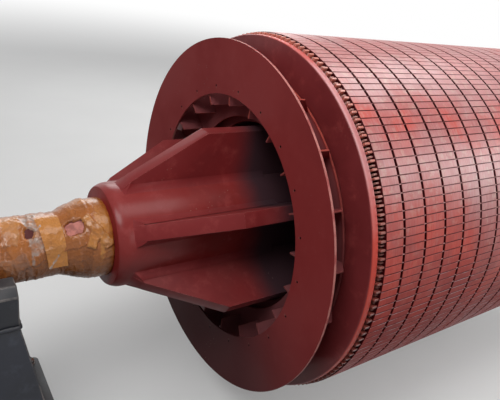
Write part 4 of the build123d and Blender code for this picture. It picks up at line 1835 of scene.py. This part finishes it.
@dataclass
class Studio:
    """Pale floor, soft lamps and the camera at the photograph's place."""

    disc_centre: Vector = Vector((-0.99675, 0.0, AXIS_HEIGHT))
    disc_in_camera: Vector = Vector((-0.1343, 0.0655, 1.9637))
    camera_x: Vector = Vector((0.8241, -0.1201, 0.5536))
    camera_z: Vector = Vector((0.1503, -0.8961, -0.4178))
    focal: float = 37.4
    floor_half: float = 150.0
    floor_drop: float = 0.0006
    floor_tone: Colour = (0.80, 0.80, 0.79)
    bounce_tone: Colour = (0.14, 0.14, 0.14)
    roof_tone: Colour = (0.42, 0.43, 0.45)
    fill: float = 0.14

    def camera(self) -> None:
        """Place the camera from its fit to the photograph."""
        x_axis = self.camera_x.normalized()
        z_axis = (self.camera_z - x_axis * self.camera_z.dot(x_axis)).normalized()
        y_axis = z_axis.cross(x_axis)
        to_world = Matrix((x_axis, y_axis, z_axis))
        right, down, ahead = (to_world.col[i].copy() for i in range(3))
        place = self.disc_centre - to_world @ self.disc_in_camera
        turn = Matrix((right, -down, -ahead)).transposed().to_4x4()
        data = bpy.data.cameras.new("camera")
        data.lens = self.focal
        data.sensor_width = 36.0
        data.clip_end = 500.0
        camera = bpy.data.objects.new("camera", data)
        camera.matrix_world = Matrix.Translation(place) @ turn
        bpy.context.scene.collection.objects.link(camera)
        bpy.context.scene.camera = camera

    def floor(self) -> None:
        """Lay the pale floor, which fades to white far from the rotor and throws little light back."""
        corners = [(x * self.floor_half, y * self.floor_half, -self.floor_drop) for x, y in SQUARE]
        mesh = make_mesh("floor", corners, [(0, 1, 2, 3)])
        material = bpy.data.materials.new("pale_floor")
        material.use_nodes = True
        g = Graph(material.node_tree)
        shader = g.tree.nodes["Principled BSDF"]
        point = g.add("ShaderNodeTexCoord").outputs["Object"]
        cloud = g.ramp(g.noise(point, 1.5, 3.0), 0.3, 0.7, 0.97, 1.0)
        tone = g.blend(1.0, self.floor_tone, cloud, "MULTIPLY")
        g.wire(shader, {"Base Color": tone, "Roughness": 0.8, "Specular IOR Level": 0.1})
        distance = g.add("ShaderNodeVectorMath", {0: point}, operation="LENGTH").outputs["Value"]
        haze = g.ramp(distance, 3.0, 14.0, 0.2, 1.0)
        glow = g.first("ShaderNodeEmission", {"Color": (1.0, 1.0, 1.0), "Strength": 1.0})
        shown = g.first("ShaderNodeMixShader", {0: haze, 1: shader.outputs[0], 2: glow})
        dim = g.first("ShaderNodeBsdfDiffuse", {"Color": self.bounce_tone})
        mixed = g.first("ShaderNodeMixShader", {0: self.seen(g), 1: dim, 2: shown})
        g.feed(g.tree.nodes["Material Output"].inputs[0], mixed)
        add_piece("floor", mesh, material)

    @staticmethod
    def seen(g: Graph) -> Socket:
        """Tell the rays that show the background from those that only light the rotor."""
        rays = g.add("ShaderNodeLightPath").outputs
        shown = g.math("MAXIMUM", rays["Is Camera Ray"], rays["Is Glossy Ray"])
        return g.math("MAXIMUM", shown, rays["Is Transmission Ray"])

    def world(self) -> None:
        """Fill the scene with soft light in front of a white background."""
        world = bpy.data.worlds.new("studio")
        bpy.context.scene.world = world
        world.use_nodes = True
        g = Graph(world.node_tree)
        g.tree.nodes.clear()
        direction = g.add("ShaderNodeTexCoord").outputs["Generated"]
        up = g.add("ShaderNodeSeparateXYZ", {0: direction}).outputs[2]
        roof = g.blend(g.ramp(up, 0.12, 0.6), (1.0, 1.0, 1.0), self.roof_tone)
        fill = g.first("ShaderNodeBackground", {"Color": (0.95, 0.97, 1.0), "Strength": self.fill})
        white = g.first("ShaderNodeBackground", {"Color": roof, "Strength": 1.0})
        mixed = g.first("ShaderNodeMixShader", {0: self.seen(g), 1: fill, 2: white})
        g.add("ShaderNodeOutputWorld", {0: mixed})

    @staticmethod
    def lamp(name: str, place: Point, aim: Point, size: tuple[float, float], power: float) -> None:
        """Hang a soft rectangular lamp.

        Args:
            name: Name of the lamp.
            place: Where it hangs.
            aim: Point that it faces.
            size: Width and height of its panel.
            power: Power in watts.
        """
        data = bpy.data.lights.new(name, "AREA")
        data.shape = "RECTANGLE"
        data.size, data.size_y = size
        data.energy = power
        lamp = bpy.data.objects.new(name, data)
        direction = Vector(aim) - Vector(place)
        lamp.rotation_euler = direction.to_track_quat("-Z", "Y").to_euler()
        lamp.location = place
        bpy.context.scene.collection.objects.link(lamp)

    def build(self) -> None:
        """Set up the studio."""
        bpy.context.scene.view_settings.view_transform = "Standard"
        self.camera()
        self.floor()
        self.world()
        for lamp in LAMPS:
            self.lamp(*lamp)


def main() -> None:
    """Build every piece in order and report it."""
    logging.basicConfig(level=logging.INFO, format="%(name)s: %(message)s")
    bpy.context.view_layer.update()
    effects = Effects()
    finishes = {use: finish.build(effects) for use, finish in FINISHES.items()}
    builders = Builders()
    Core(builders, finishes).build()
    Spider(builders, finishes).build()
    for end in End:
        EndWork(end, builders, finishes).build()
        JournalWrap(end, finishes, seed=4 if end is End.DRIVE else 7).build()
        Stand(end, builders, finishes).build()
    Studio().build()


if __name__ == "__main__":
    main()
